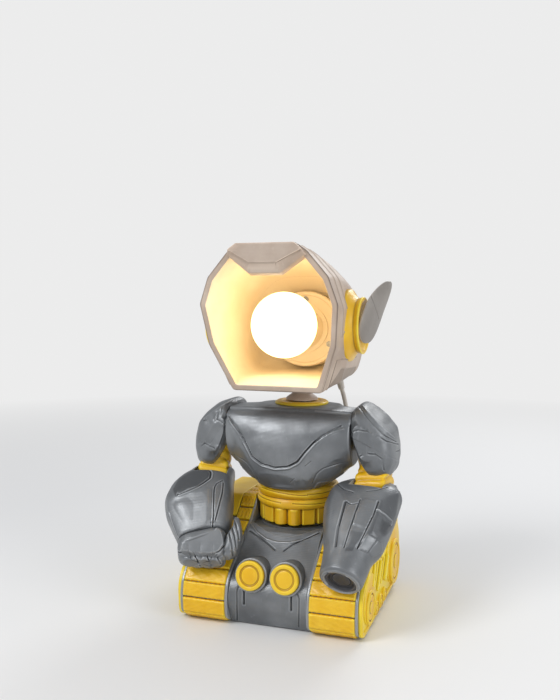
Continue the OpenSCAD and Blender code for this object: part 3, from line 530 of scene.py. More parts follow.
def write_relief(mesh):
    """Stores how hollow (above 0) or raised (below 0) the surface is at each point, for the paint, which
    puts a dark wash and painted shade in hollows and rubbing wear and painted highlight on raised edges.
    """
    n = len(mesh.vertices)
    co, no = np.zeros(3 * n), np.zeros(3 * n)
    mesh.vertices.foreach_get("co", co)
    mesh.vertices.foreach_get("normal", no)
    co, no = co.reshape(-1, 3), no.reshape(-1, 3)
    edges = np.zeros(2 * len(mesh.edges), int)
    mesh.edges.foreach_get("vertices", edges)
    i, j = edges.reshape(-1, 2).T
    d = co[j] - co[i]
    size = np.maximum((d * d).sum(1), 0.01)
    total, count = np.zeros(n), np.zeros(n)
    np.add.at(total, i, 2 * (d * no[i]).sum(1) / size)
    np.add.at(total, j, -2 * (d * no[j]).sum(1) / size)
    np.add.at(count, i, 1)
    np.add.at(count, j, 1)
    bend = total / np.maximum(count, 1)
    for _ in range(2):
        near = np.zeros(n)
        np.add.at(near, i, bend[j])
        np.add.at(near, j, bend[i])
        bend = 0.5 * bend + 0.5 * near / np.maximum(count, 1)
    relief = mesh.attributes.new("relief", "FLOAT", "POINT")
    relief.data.foreach_set("value", np.tanh(bend * 1.3).astype(np.float32))


# ---------------------------------------------------------------- materials
PAINTS = {}


def linear(r, g, b):
    """A colour of 0 to 255 as the linear values that nodes take."""
    rgb = [((c / 255 + 0.055) / 1.055) ** 2.4 if c > 10 else c / 255 / 12.92 for c in (r, g, b)]
    return (*rgb, 1.0)


def fill(tree, node, inputs):
    """Gives inputs their values, or links them when the value is another node's output."""
    for key, value in inputs.items():
        if isinstance(value, bpy.types.NodeSocket):
            tree.links.new(value, node.inputs[key])
        else:
            node.inputs[key].default_value = value
    return node


def add_node(tree, kind, inputs=None):
    return fill(tree, tree.nodes.new("ShaderNode" + kind), inputs or {})


class Paint:
    """A node material, kept in PAINTS, in which nodes are added one after another."""

    def __init__(self, name, rough, metal=0.0):
        self.mat = bpy.data.materials.new(name)
        self.mat.use_nodes = True
        self.tree = self.mat.node_tree
        self.shader = self.tree.nodes["Principled BSDF"]
        fill(self.tree, self.shader, {"Roughness": rough, "Metallic": metal})
        self.where = self.node("TexCoord").outputs["Object"]
        PAINTS[name] = self.mat

    def node(self, kind, inputs=None):
        return add_node(self.tree, kind, inputs)

    def noise(self, scale, detail=4.0, rough=0.55, stretch=(1, 1, 1)):
        place = self.node("Mapping", {"Scale": stretch, "Vector": self.where})
        inputs = {"Scale": scale, "Detail": detail, "Roughness": rough, "Vector": place.outputs[0]}
        return self.node("TexNoise", inputs).outputs["Fac"]

    def ranged(self, value, low, high, to_low=0.0, to_high=1.0):
        inputs = {"Value": value, "From Min": low, "From Max": high, "To Min": to_low, "To Max": to_high}
        return self.node("MapRange", inputs).outputs["Result"]

    def mixed(self, factor, a, b):
        node = self.node("Mix")
        node.data_type = "RGBA"
        return fill(self.tree, node, {0: factor, 6: a, 7: b}).outputs[2]

    def stored(self, name):
        """A value kept at the points of the mesh."""
        node = self.node("Attribute")
        node.attribute_name = name
        return node.outputs["Fac"]

    def bump(self, height, strength, distance, under=None):
        inputs = {"Height": height, "Strength": strength, "Distance": distance}
        if under:
            inputs["Normal"] = under
        return self.node("Bump", inputs).outputs["Normal"]

    def layers(self, pitch, wander):
        """Level lines, pitch metres apart, as a printer leaves them."""
        node = self.node("TexWave", {"Scale": 2 * math.pi / (20 * pitch), "Distortion": wander,
                                     "Detail": 1.0, "Detail Scale": 0.2, "Vector": self.where})
        node.bands_direction = "Z"
        return node.outputs["Fac"]

    def done(self, colour, normal):
        fill(self.tree, self.shader, {"Base Color": colour, "Normal": normal})

    def patchy_gloss(self, scale, low, high):
        """A roughness that wanders between low and high."""
        fill(self.tree, self.shader, {"Roughness": self.ranged(self.noise(scale, 3), 0.3, 0.7, low, high)})


def printed(name, base, light, dark, groove, rough=0.5, shine=0.0, rub_and_highlight=0.75, grain=0.35, pitch=0.0011):
    """Painted 3D print: soft patches, grooves dark with a wash and painted shade, edges light from rubbing
    wear and painted highlight, fine scratches and faint print layers.
    """
    p = Paint(name, rough, shine)
    # Light patches, dark patches and scratches.
    colour = p.mixed(p.ranged(p.noise(24, 4, 0.55), 0.44, 0.68, 0, 0.8), linear(*base), linear(*light))
    colour = p.mixed(p.ranged(p.noise(15, 3, 0.5, (1.3, 1, 0.8)), 0.3, 0.46, 0.6, 0), colour, linear(*dark))
    scratches = p.noise(420, 2, 0.5, (1, 1, 0.12))
    colour = p.mixed(p.ranged(scratches, 0.64, 0.72, 0, 0.3), colour, linear(*light))
    # What Skin.shade painted, then a dark wash and painted shade in hollows, and rubbing wear and painted
    # highlight on raised edges.
    shade, relief = p.stored("shade"), p.stored("relief")
    colour = p.mixed(p.ranged(shade, 0, 1), colour, linear(*[c * 0.55 for c in dark]))
    colour = p.mixed(p.ranged(shade, 0, -1), colour, linear(*light))
    # Hollows: dark wash and painted shade.
    colour = p.mixed(p.ranged(relief, 0.12, 0.7, 0, 0.92), colour, linear(*groove))
    # Raised edges: rubbing wear and painted highlight.
    rubbed_and_lit = tuple(min(255, c * 1.2 + 12) for c in light)
    colour = p.mixed(p.ranged(relief, -0.16, -0.7, 0, rub_and_highlight), colour, linear(*rubbed_and_lit))
    normal = p.bump(p.layers(pitch, 2.0), grain, 0.0001)
    normal = p.bump(p.noise(900, 3, 0.6), 0.25, 0.0001, normal)
    normal = p.bump(p.noise(55, 3, 0.55), 0.3, 0.001, normal)
    p.done(colour, normal)
    p.patchy_gloss(60, rough - 0.08, rough + 0.1)


def plastic(name, base, shade, rough):
    """Moulded plastic, a little darker in its hollows, which is painted shade."""
    p = Paint(name, rough)
    colour = p.mixed(p.ranged(p.noise(35, 3), 0.35, 0.7), linear(*base), linear(*shade))
    # Painted shade in the hollows.
    hollow = p.ranged(p.stored("relief"), 0.15, 0.8, 0, 0.7)
    colour = p.mixed(hollow, colour, linear(*[c * 0.5 for c in shade]))
    p.done(colour, p.bump(p.noise(1200, 2), 0.3, 0.0001))
    p.patchy_gloss(90, rough - 0.05, rough + 0.1)


def metal(name, base, shade, rough):
    p = Paint(name, rough, 1.0)
    colour = p.mixed(p.ranged(p.noise(150, 3), 0.35, 0.7), linear(*base), linear(*shade))
    p.done(colour, p.bump(p.noise(1500, 2, 0.5, (1, 1, 6)), 0.25, 0.00008))
    p.patchy_gloss(300, rough - 0.08, rough + 0.12)


def glowing(name, colour, shade, strength, rough, warm):
    """Lit glass or plastic that gives light of the warm colour."""
    p = Paint(name, rough)
    tone = p.mixed(p.ranged(p.noise(40, 2), 0.3, 0.7), linear(*colour), linear(*shade))
    fill(p.tree, p.shader, {"Emission Color": linear(*warm), "Emission Strength": strength})
    p.done(tone, p.bump(p.noise(300, 2), 0.05, 0.0001))


# Base, light patches, dark patches and groove colour (a dark wash and painted shade) of each print.
printed("grey_print", (114, 117, 120), (142, 145, 148), (84, 86, 91), (28, 29, 32), rough=0.38, shine=0.4)
printed("pale_print", (184, 164, 147), (202, 185, 169), (154, 136, 121), (88, 74, 66), rub_and_highlight=0.4, grain=0.5)
printed("fin_print", (140, 134, 128), (162, 156, 150), (112, 107, 103), (66, 62, 60), rough=0.42, rub_and_highlight=0.4)
printed("yellow_print", (234, 182, 18), (246, 204, 54), (204, 148, 10), (104, 64, 4), rough=0.36, rub_and_highlight=0.5)
printed("dark_print", (58, 58, 61), (80, 80, 84), (42, 42, 45), (18, 18, 20), rough=0.45, shine=0.3,
        rub_and_highlight=0.6)
printed("inner_white", (242, 230, 208), (248, 240, 222), (230, 214, 186), (192, 168, 130), rough=0.6,
        rub_and_highlight=0.1, grain=0.25)
plastic("cord_white", (214, 208, 200), (198, 191, 182), 0.45)
metal("screw_steel", (176, 178, 182), (140, 142, 147), 0.35)
metal("contact_brass", (205, 170, 96), (178, 142, 72), 0.32)
metal("pin_metal", (196, 190, 178), (170, 163, 150), 0.28)
metal("bulb_metal", (190, 190, 186), (160, 160, 157), 0.3)
glowing("bulb_glass", (255, 250, 240), (250, 244, 232), 3.0, 0.25, (255, 220, 158))
glowing("bulb_white", (242, 238, 228), (232, 226, 214), 0.35, 0.4, (255, 214, 150))


def paint_cad_nodes():
    """Every CAD node that stays in view gets its slot's procedural material."""
    slots = {s["node"]: s["material_slot"] for s in frame["record"]["subparts"]}
    for name, obj in frame["nodes"].items():
        obj.data.materials.clear()
        obj.data.materials.append(PAINTS[slots[name]])


paint_cad_nodes()


# ---------------------------------------------------------------- cord
# The cord's diameter, then its runs: down from the helmet, behind the base, to the coil and the plug.
CORD_D = 4.4
CORD_EXIT = (30, 50, 198)
DROP = [CORD_EXIT, (31.5, 53.5, 189), (33, 57, 178), (35, 61, 166), (37.5, 65, 154), (40, 69, 142),
    (42, 72.5, 130), (44, 76, 118), (45.5, 79, 108)]
REAR = [(47, 82, 98), (48, 84, 88), (48, 85, 78), (48, 85, 66), (48, 86, 54), (48, 87, 43), (48, 90, 32),
    (48, 95, 22), (48, 101, 13), (48, 109, 6.5), (47.5, 118, 3.2), (45, 127, 2.6), (41, 133, 3.4),
    (36, 136.4, 4.8), (31, 137, 6), (26, 137, 6)]
THROUGH_SWITCH = [(14, 137, 6), (3, 137, 6), (-8, 137, 6)]
LINK = [(-20, 137, 6), (-28, 136.6, 6.2)]
COIL_C, COIL_R = (-56, 112), 25
# Where each turn of the coil lies: columns out (+1) or in (-1) of the mean radius, and its layer.
COIL_SLOTS = [(1, 1), (1, 0), (0, 0), (-1, 0), (-1, 1), (0, 1), (0, 2), (-1, 2), (1, 2)]
# Angles at which the cord enters the coil and leaves it, and where in a turn it starts to change its slot.
COIL_IN, COIL_OUT, COIL_CHANGE = 50, 296 + 360 * 8, 0.86
TAIL = [(-38, 84.6, 9.4), (-32, 86.6, 8.2), (-26, 88, 6.8), (-18, 88, 6.8)]
CORD_STEP, CORD_SIDES = 1.6, 12


def coil_line():
    """The stored turns."""
    points = []
    pitch = CORD_D + 0.02
    for a in np.arange(COIL_IN, COIL_OUT, 12):
        k = (a - COIL_IN) / 360
        i = int(k)
        u = smoothstep((k - i - COIL_CHANGE) / (1 - COIL_CHANGE))
        here, after = COIL_SLOTS[i], COIL_SLOTS[min(i + 1, len(COIL_SLOTS) - 1)]
        col, row = (here[j] * (1 - u) + after[j] * u for j in (0, 1))
        x, y = arc(COIL_C, COIL_R + col * pitch, a, a, 0)[0]
        points.append((x, y, CORD_D / 2 + 0.1 + row * pitch))
    return points


def make_cord():
    """The whole cord as one tube; its ends are the helmet's relief and the plug."""
    p = np.array(DROP + REAR + THROUGH_SWITCH + LINK + coil_line() + TAIL, float)
    s = distances(p)
    fine = smooth_path(s, p, np.linspace(0, s[-1], int(s[-1] / CORD_STEP)))
    a = round_angles(CORD_SIDES)[:, None]
    rings, side = [], None
    for i, c in enumerate(fine):
        t = unit(fine[min(i + 1, len(fine) - 1)] - fine[max(i - 1, 0)])
        side = unit(np.cross(t, (0.3, 1, 0.2)) if side is None else side - t * (side @ t))
        rings.append(c + CORD_D / 2 * (side * np.cos(a) + np.cross(t, side) * np.sin(a)))
    obj = Skin.of_rows(rings).piece("mains_cord", "cord_white")
    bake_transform(obj, "base", "head", start=np.array(DROP[-1]) * MM, end=np.array(DROP[0]) * MM)
    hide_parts("cord_drop", "cord_rear", "cord_coil", "cord_tail")


make_cord()


# ---------------------------------------------------------------- helmet
# Stations of the helmet run from 0 at the rim over 1, where its lean ends, to 4 at the back.
HEAD_HALF, HEAD_WALL = 62.5, 5
SEAM_V, RIM_V, BACK_V, LINING_V = 2.0, 0.02, 3.96, 2.9
# Half outlines from the chin to the crown, as parts of a section's half width and height.
FACE_OUTLINE = np.array([(0.66, 0), (0.93, 0.32), (1, 0.6), (0.87, 0.78), (0.58, 0.945), (0.42, 1)])
BODY_OUTLINE = np.array([(0.86, 0), (0.98, 0.25), (1, 0.55), (0.87, 0.79), (0.6, 0.94), (0.42, 1)])
# Width against HEAD_HALF, top and bottom at each station, and the depth of stations 1 to 4.
HEAD_KEYS = [0, 1, 2, 3, 4]
HEAD_ROWS = [(1, 336, 206.6), (0.995, 331, 211.5), (0.95, 315, 213), (0.8, 291, 224), (0.42, 270, 240)]
HEAD_DEPTHS = [-45, 20, 44, 52]
FACE_Z, FACE_Y = [206.6, 240, 287, 336], [-65, -78, -91, -92]
# Points on each side of a section.
SIDE_STEPS = [26, 26, 20, 18, 12, 30, 12, 18, 20, 26, 26, 44]
# The rim's profile: how far inside the outer skin, and how far behind the face.
RIM = [(0, 0.5), (0.15, 0.15), (0.5, 0), (1.6, 0), (2.8, 0), (4.3, 0), (4.8, 0.15), (5, 0.5)]
RIM_SOFT = 0.9
HEAD_MIDDLE = Vector((0, -20, 268))
LAMP_FRAME = translation(0, 21, 259) @ rotation(90 - 5.3, "X")
REFLECTOR_R, HOLDER_R, BULB_R = 37, 19.5, 30
DRUM_START, DRUM_LONGEST, DRUM_GAP = -5.2, 34, 0.4
JAW_OUTLINE = [(-66, 200), (-52, 227.5), (6, 224.5), (14, 200)]
JAW_X = 40


def head_section(v):
    """Half width, top, bottom and half outline of the outer skin at station v."""
    width, top, bottom = smooth_at(HEAD_KEYS, HEAD_ROWS, [v])[0]
    return width * HEAD_HALF, top, bottom, FACE_OUTLINE + (BODY_OUTLINE - FACE_OUTLINE) * min(1, v)


def head_depth(v, z):
    """Depth of station v at height z."""
    if v < 1:
        return np.interp(z, FACE_Z, FACE_Y) * (1 - v) + HEAD_DEPTHS[0] * v
    return smooth_at(HEAD_KEYS[1:], HEAD_DEPTHS, [v])[0][0] + 0 * z


def head_ring(v, t, soft, dy=0.0):
    """Helmet section at station v, t inside the outer skin, corners rounded over about soft points."""
    half, top, bottom, outline = head_section(v)
    q = np.vstack([outline * (-1, 1), outline[::-1]])
    z = bottom + t + q[:, 1] * (top - bottom - 2 * t)
    corners = np.stack([q[:, 0] * (half - t * 1.05), head_depth(v, z) + dy, z], -1)
    ring = np.vstack([c + (e - c) * np.linspace(0, 1, n, endpoint=False)[:, None]
                      for c, e, n in zip(corners, np.roll(corners, -1, axis=0), SIDE_STEPS)])
    return blurred(ring, soft)


def head_rings(v0, v1, n, t, dy=0.0):
    """n sections from station v0 to v1; their corners get rounder towards the back."""
    return [head_ring(v, t, float(np.interp(v, [0, 0.5, 1.2, 2, 3, 4], [0.9, 1.6, 3.5, 6, 9, 10])), dy)
            for v in np.linspace(v0, v1, n)]


def head_line(places):
    """Points of the outer skin from (station, place along the half outline from 0 at the chin to 5)."""
    out = []
    for v, k in places:
        half, top, bottom, outline = head_section(v)
        x, up = along(outline, range(6), [k])[0]
        z = bottom + up * (top - bottom)
        out.append((x * half, head_depth(v, z), z))
    return out


def around(v, k0, k1, n):
    """A line round the outer skin at station v."""
    return head_line([(v, k) for k in np.linspace(k0, k1, n)])


def both_sides(lines):
    return lines + [[(-x, y, z) for x, y, z in line] for line in lines]


def face_out(skin):
    """Turns an open skin's faces away from the middle of the helmet."""
    if any(f.normal.dot(f.calc_center_median() - HEAD_MIDDLE) < 0 and abs(f.normal.y) < 0.9
           for f in skin.bm.faces):
        skin.flip()
    return skin


def make_helmet():
    """The front shell's outer skin, rim and lit inside, then its rear part and the lining with the drum."""
    out = head_rings(SEAM_V, RIM_V, 84, 0)
    rim = [head_ring(0, t, RIM_SOFT, dy) for t, dy in RIM]
    inner = head_rings(RIM_V, SEAM_V, 60, HEAD_WALL)
    outside = face_out(Skin.of_rows(out + rim[:7], ends=(False, False)))
    inside = face_out(Skin.of_rows(rim[6:] + inner, ends=(False, False))).flip()
    seam = Skin.of_rows([inner[-1] + (0, -0.15, 0), out[0] + (0, -0.15, 0)], ends=(False, False))
    tree = outside.tree()
    helmet_lines(outside)
    outside.roughen(16, 0.12)
    outside.publish("helmet_shell", "pale_print", ["head_shell"])
    # The inside is painted in the whiter inner_white, standing for the bulb's light on the same pale print:
    # painted light.
    inside.publish("helmet_inside", "inner_white", body="head")
    seam.publish("helmet_seam", "pale_print", body="head")
    rear = rounded_end(head_rings(SEAM_V, BACK_V, 70, 0, 0.15), 5, 7)
    back = face_out(Skin.of_rows(rear, ends=(False, True)))
    helmet_back_lines(back)
    back.roughen(16, 0.12, 3)
    back.publish("helmet_back", "pale_print", ["head_back"])
    lining = rounded_end(head_rings(SEAM_V, LINING_V, 40, HEAD_WALL), 4)
    lining = face_out(Skin.of_rows(lining, ends=(False, True))).flip()
    make_drum(lining.tree())
    # The lining takes the same whiter paint as painted light from the bulb.
    lining.publish("helmet_lining", "inner_white", body="head")
    return tree


def make_drum(lining):
    """Tube behind the reflector, as long as it takes to reach the lining all round."""
    angles = round_angles(128)
    back = LAMP_FRAME.to_3x3() @ Vector((0, 0, -1))
    reach = []
    for start in ring_rows(angles, REFLECTOR_R, -5):
        hit = lining.ray_cast(LAMP_FRAME @ Vector(start), back)
        reach.append(min((hit[3] or 12) - DRUM_GAP, DRUM_LONGEST))
    outer, inner = REFLECTOR_R - DRUM_GAP, REFLECTOR_R - 3
    rows = []
    for r, k in ((inner, 1), (outer, 1), (outer, 0.5), (outer, 0), (inner, 0), (inner, 0.5)):
        rows.append([LAMP_FRAME @ Vector((r * math.cos(a), r * math.sin(a), DRUM_START - k * end))
                     for a, end in zip(angles, reach)])
    Skin.of_rows(rows, wrap=True).publish("reflector_drum", "inner_white", body="head")


def jaw_weight(skin):
    """1 on the jaw's sides, 0 above them."""
    co, _ = skin.arrays()
    return smoothstep(inside_by(co[:, 1:], JAW_OUTLINE) + 0.5) * (np.abs(co[:, 0]) > JAW_X)


def helmet_lines(skin):
    """Fold lines behind the rim, the jaw panel's step and the seams."""
    cheek = head_line([(0.36, 1.3), (0.6, 1.5), (0.72, 2.0), (0.72, 2.4)])
    jaw_top = head_line([(0.3, 0.75), (0.6, 0.78), (1.0, 0.8), (1.5, 0.82)])
    folds = both_sides([around(0.36, 1.3, 5, 24), around(0.72, 2.4, 5, 20), cheek])
    skin.carve_all((folds, 1.3, 0.7), (both_sides([jaw_top, around(0.3, 0.0, 0.75, 8)]), 1.1, 0.8))
    skin.lift(jaw_weight(skin), 0.7)
    skin.tint(0.45 * jaw_weight(skin))


def helmet_back_lines(skin):
    rings = [around(v, 0.1, 5, 40) for v in (2.6, 3.3)]
    lengthways = [head_line([(v, k) for v in np.linspace(2.05, 3.3, 20)]) for k in (4.0, 1.0)]
    skin.carve(both_sides(rings + lengthways), 1.1, 0.6)


HELMET_TREE = make_helmet()


# Outline of the brow plate at its rear and its face; each step has its depth and its place between the two.
BROW_REAR = np.array([(-27, 12.4), (-35.6, 3), (-14.4, -13.4), (14.4, -13.4), (35.6, 3), (27, 12.4)])
BROW_FACE = np.array([(-26, 11.6), (-33, 6), (-12.5, -5.2), (12.5, -5.2), (33, 6), (26, 11.6)])
BROW_STEPS = ((-1, 0), (2, 0), (5.6, 0), (6.2, 0.03), (7, 0.12), (9, 0.45), (11, 0.86), (11.6, 0.97),
    (11.95, 1.02))
BROW_FRONT = [(237, 244), (297, 243), (299, 249), (275, 262), (272, 265), (247, 265), (231, 254)]
BROW_LIP = [(247, 267), (250, 273), (277, 272), (279, 271), (272, 266)]
BROW_FOLD = [(231, 254), (247, 265), (272, 265), (300, 250)]


def make_brow():
    """Brow plate over the face; its lower edges slope back from the front."""
    rows = []
    for z, k in BROW_STEPS:
        ring = blurred(even(BROW_REAR + (BROW_FACE - BROW_REAR) * k, 220), 0.6)
        rows.append(np.column_stack([ring, np.full(len(ring), z)]))
    top = rows[-1]
    mid = top.mean(0)
    for k in (0.97, 0.9, 0.75, 0.55, 0.35, 0.12):
        rows.append(mid + (top - mid) * k + (0, 0, 0.05 * (1 - k)))
    turn = translation(0, -96, 324) @ rotation(-14, "X") @ rotation(90, "X") @ translation(0, 0, -8)
    skin = Skin.of_rows(rows).moved(turn)
    # Painted highlight on the brow's lower lip and painted shade on its front face.
    skin.shade(BROW_LIP, -0.9, 0.5)
    skin.shade(BROW_FRONT, 0.25, 0.5)
    skin.carve(skin.traces([BROW_FOLD]), 0.8, 0.4)
    skin.roughen(9, 0.12, 1)
    skin.publish("brow_plate", "pale_print", ["brow_visor"], sharp=24)


make_brow()


# ---------------------------------------------------------------- ears
EAR_Y, EAR_Z, EAR_R, FIN_LEN, FIN_HALF = -33, 265, 25.5, 62, 17
FIN_CREASE = [(371, 296), (374, 303), (377, 312), (379, 319)]
EAR_PROFILE = [(EAR_R + 7, 50), (EAR_R + 7, 60), (EAR_R + 1, 64), (EAR_R - 1.5, 67), (EAR_R - 0.5, 69),
               (EAR_R, 70), (EAR_R, 71.5), (EAR_R - 3, 72), (EAR_R - 6, 69.4), (12, 69.2), (4, 69.2)]


def make_ears():
    """A round hub on each side of the helmet and the fin that leans out from it."""
    turn = translation(0, EAR_Y, EAR_Z) @ rotation(90, "Y")
    for side, name in ((1, "left"), (-1, "right")):
        hub = sit_on_helmet(Skin.turned(filleted(EAR_PROFILE, 1.4), 144).moved(turn))
        hub.roughen(10, 0.15, side)
        fin = Skin.of_rows([fin_ring(s) for s in 0.5 - 0.495 * np.cos(np.linspace(0, np.pi, 90))])
        fin.carve(fin.traces([FIN_CREASE]), 1.1, 0.5)
        if side < 0:
            hub, fin = hub.mirrored(), fin.mirrored()
        hub.publish("ear_ring_" + name, "yellow_print", ["ear_hub_" + name])
        fin.publish("ear_blade_" + name, "grey_print", ["ear_fin_" + name], paint="fin_print")


def sit_on_helmet(skin):
    """Ends the skin's inner side just under the surface of the helmet."""
    co, _ = skin.arrays()
    for k, (x, y, z) in enumerate(co):
        hit = HELMET_TREE.ray_cast(Vector((90, y, z)), Vector((-1, 0, 0)))[0]
        if hit:
            co[k, 0] = max(x, hit.x - 1.2)
    return skin.place(co)


def fin_ring(s):
    """Section of the ear fin, from s 0 at its foot to 1 at its tip."""
    middle = np.array([73.7 + 3 * s + 11.5 * s * s, EAR_Y + 26 * s * s, EAR_Z - 16 + (FIN_LEN - 6) * s])
    w = FIN_HALF * math.sqrt(1 - abs(2 * s - 1) ** 2.6)
    t = (1.2 + 2.6 * math.sin(math.pi * s)) * min(1, w / 6)
    u = unit((0.35, 0.94, 0))
    v = np.array([u[1], -u[0], 0])
    a = round_angles(72)[:, None]
    return middle + u * w * np.cos(a) - v * t * np.sin(a)


make_ears()


# ---------------------------------------------------------------- lamp
# Heights over the reflector's face: the globe's middle and the ring where it meets its neck.
GLOBE_AT, GLOBE_TO_NECK = 35.3 + BULB_R, 21.3
NECK_END = GLOBE_AT - GLOBE_TO_NECK


def make_lamp():
    """Reflector disc, the bulb's globe and its white neck."""
    r = REFLECTOR_R
    dish = filleted([(r - 3, -8), (r, -8), (r, -0.8), (r - 0.6, 0.8), (r - 2.6, 1), (r - 4, 0),
                     (HOLDER_R, 0), (HOLDER_R, -3)], 0.6)
    low = -math.asin(GLOBE_TO_NECK / BULB_R)
    globe = [(BULB_R * math.cos(a), GLOBE_AT + BULB_R * math.sin(a))
             for a in np.linspace(low, math.pi / 2 - 0.03, 60)]
    r = math.sqrt(BULB_R ** 2 - GLOBE_TO_NECK ** 2)
    neck = filleted([(8, 25), (13.1, 25), (15, 28), (r, NECK_END), (r - 4, NECK_END)], 1.2)
    for profile, n, name, slot, node in (
            (dish, 160, "reflector_disc", "inner_white", "reflector"),
            (globe, 128, "lamp_globe", "bulb_glass", "bulb_globe"),
            (neck, 96, "lamp_neck", "bulb_white", "bulb_neck")):
        Skin.turned(profile, n).moved(LAMP_FRAME).publish(name, slot, [node])


make_lamp()


# ---------------------------------------------------------------- neck
TORSO_TOP, COLLAR_R, NECK_R, NECK_Y, NECK_TOP = 187, 26, 9, 11, 212


def make_neck():
    """Flared neck under the helmet, and the collar round its foot."""
    place = translation(0, NECK_Y, 0)
    z, r = TORSO_TOP + 3.8, NECK_R
    spool = filleted([(r - 0.1, TORSO_TOP - 8), (r - 0.1, z - 0.4), (r, z), (COLLAR_R - 10, z),
                      (COLLAR_R - 11, z + 2), (r + 0.5, z + 6), (r - 0.5, z + 10), (r + 0.5, z + 13),
                      (r + 5, z + 17), (r + 6, NECK_TOP - 0.4), (r + 4, NECK_TOP - 0.02)], 0.9)
    spool = Skin.turned(spool, 96).moved(place)
    spool.publish("neck_flare", "grey_print", ["neck_spool"], paint="pale_print")
    ring = filleted([(r + 3, 0), (COLLAR_R, 0), (COLLAR_R, 1.6), (COLLAR_R - 2, 3), (COLLAR_R - 6, 3.4),
                     (COLLAR_R - 8, 2.4), (r + 5, 2.4), (r + 3, 1.8)], 0.5)
    collar = Skin.turned([(r, z + TORSO_TOP) for r, z in ring], 128, wrap=True)
    collar.moved(place).publish("collar_ring", "yellow_print", ["neck_collar"])


make_neck()


# ---------------------------------------------------------------- torso
TORSO_Z, TORSO_HALF, SEAM_Y = 113, 60, 12
# Outline from the bottom (0) to the top (1): half width against TORSO_HALF, front and rear.
TORSO_A = [(0, -29.5), (0.08, -20.5), (0.2, -9.5), (0.34, -3.5), (0.53, -0.5), (0.7, -1), (0.85, -6),
    (0.96, -13), (1, -17)]
TORSO_F = [(0, -43), (0.2, -49), (0.45, -51), (0.7, -47), (0.88, -40), (1, -30)]
TORSO_B = [(0, 34), (0.3, 38), (0.7, 40), (0.9, 37), (1, 31)]
# Flat round seats of the shoulders: y, z and radius.
SOCKET = (-13, 163, 30)
CHEST_LINE = [(226, 412), (231, 420), (240, 432), (247, 445), (253, 457), (262, 464), (275, 467.5),
    (288, 466.5), (297, 462), (304, 453), (313, 443), (322, 436), (333, 430), (341, 426)]
CHEST_BEAD = [(229.6, 421.2), (238.5, 433.2), (245.3, 446), (251.5, 458.2), (261.2, 465.9), (275, 469.6),
    (288.5, 468.6), (298.4, 463.6), (305.6, 454.3), (314.5, 444.5), (323.1, 437.8), (333.8, 432),
    (343.5, 429)]
FLANKS = drawn([(425, 478), (455, 520), (480, 550), (520, 580)],
    [(1018, 515), (960, 555), (880, 568), (850, 600)])
RIB = drawn([(1020, 458), (960, 474), (905, 492), (872, 520), (845, 575)])
SCRATCHES = drawn([(745, 548), (722, 568)], [(838, 452), (806, 478)])
TORSO_FACETS = [[(231, 424), (236, 431), (242, 441), (247, 453), (252, 463), (257, 471), (254, 485),
     (245, 480), (236, 465), (230, 450)],
    [(300, 463), (305, 455), (312, 447), (319, 440), (327, 434), (343, 430), (343, 460), (333, 463),
     (325, 467), (318, 472), (313, 479), (308, 486), (301, 480)],
    [(262, 471), (285, 472), (296, 470), (300, 480), (296, 488), (262, 488), (256, 484), (258, 471)]]
BACK_LINES = [[(x, 45, z) for x, z in ((-34, 178), (-30, 150), (-16, 132), (16, 132), (30, 150),
                                       (34, 178))],
              [(0, 45, z) for z in np.linspace(134, 180, 10)]]


def seat_shoulders(co):
    """Fills the sides out to flat seats where the arms stand."""
    y, z, r = SOCKET
    x = np.abs(co[:, 0])
    w = smoothstep((r + 3.5 - np.hypot(co[:, 1] - y, co[:, 2] - z)) / 7) * (co[:, 2] < TORSO_TOP - 0.4)
    filled = np.maximum(x, (TORSO_HALF - 0.25) * w + x * (1 - w))
    co[:, 0] = np.where(x > 25, np.sign(co[:, 0]) * filled, co[:, 0])
    return co


def chest_weight(skin, chest):
    """1 on the chest plate, above the line under it."""
    x, y, z = skin.arrays()[0].T
    line = np.array(sorted((q[0], q[2]) for q in chest))
    over = z - np.interp(x, line[:, 0], line[:, 1])
    return smoothstep(over / 1.4) * smoothstep((-2 - y) / 10) * smoothstep((184 - z) / 5)


def make_torso():
    """The torso's skin, carved as a whole and then parted at its side seam."""
    u = np.linspace(0, 1, 92)
    values = zip(u, TORSO_HALF + column(TORSO_A, u), column(TORSO_F, u), column(TORSO_B, u),
                 np.interp(u, [0.2, 0.6], [2.5, 3]))
    rows = [oval(TORSO_Z + k * (TORSO_TOP - TORSO_Z), 0, a, f, b, p, 300) for k, a, f, b, p in values]
    skin = Skin.of_rows(closed_rows(rows, 1.5, 3.5))
    skin.place(seat_shoulders(skin.arrays()[0]))
    for facet in TORSO_FACETS:
        skin.flatten(facet, 0.6, 1.6, 3)
    chest, bead, flanks = skin.traces([CHEST_LINE]), skin.traces([CHEST_BEAD]), skin.traces(FLANKS)
    ribs, marks = both_sides(skin.traces(RIB)), skin.traces(SCRATCHES)
    skin.lift(chest_weight(skin, chest[0]), 0.8)
    skin.carve_all((chest, 1.2, 0.9), (bead, 1.3, -0.8), (flanks, 1.6, -0.9), (ribs, 1.1, 0.5),
                   (marks, 0.7, 0.35), (BACK_LINES, 1.3, 0.7))
    skin.roughen(13, 0.28)
    torso_half(skin, True).publish("chest_shell_front", "grey_print", ["torso_front"])
    torso_half(skin, False).publish("chest_shell_back", "grey_print", ["torso_back"])


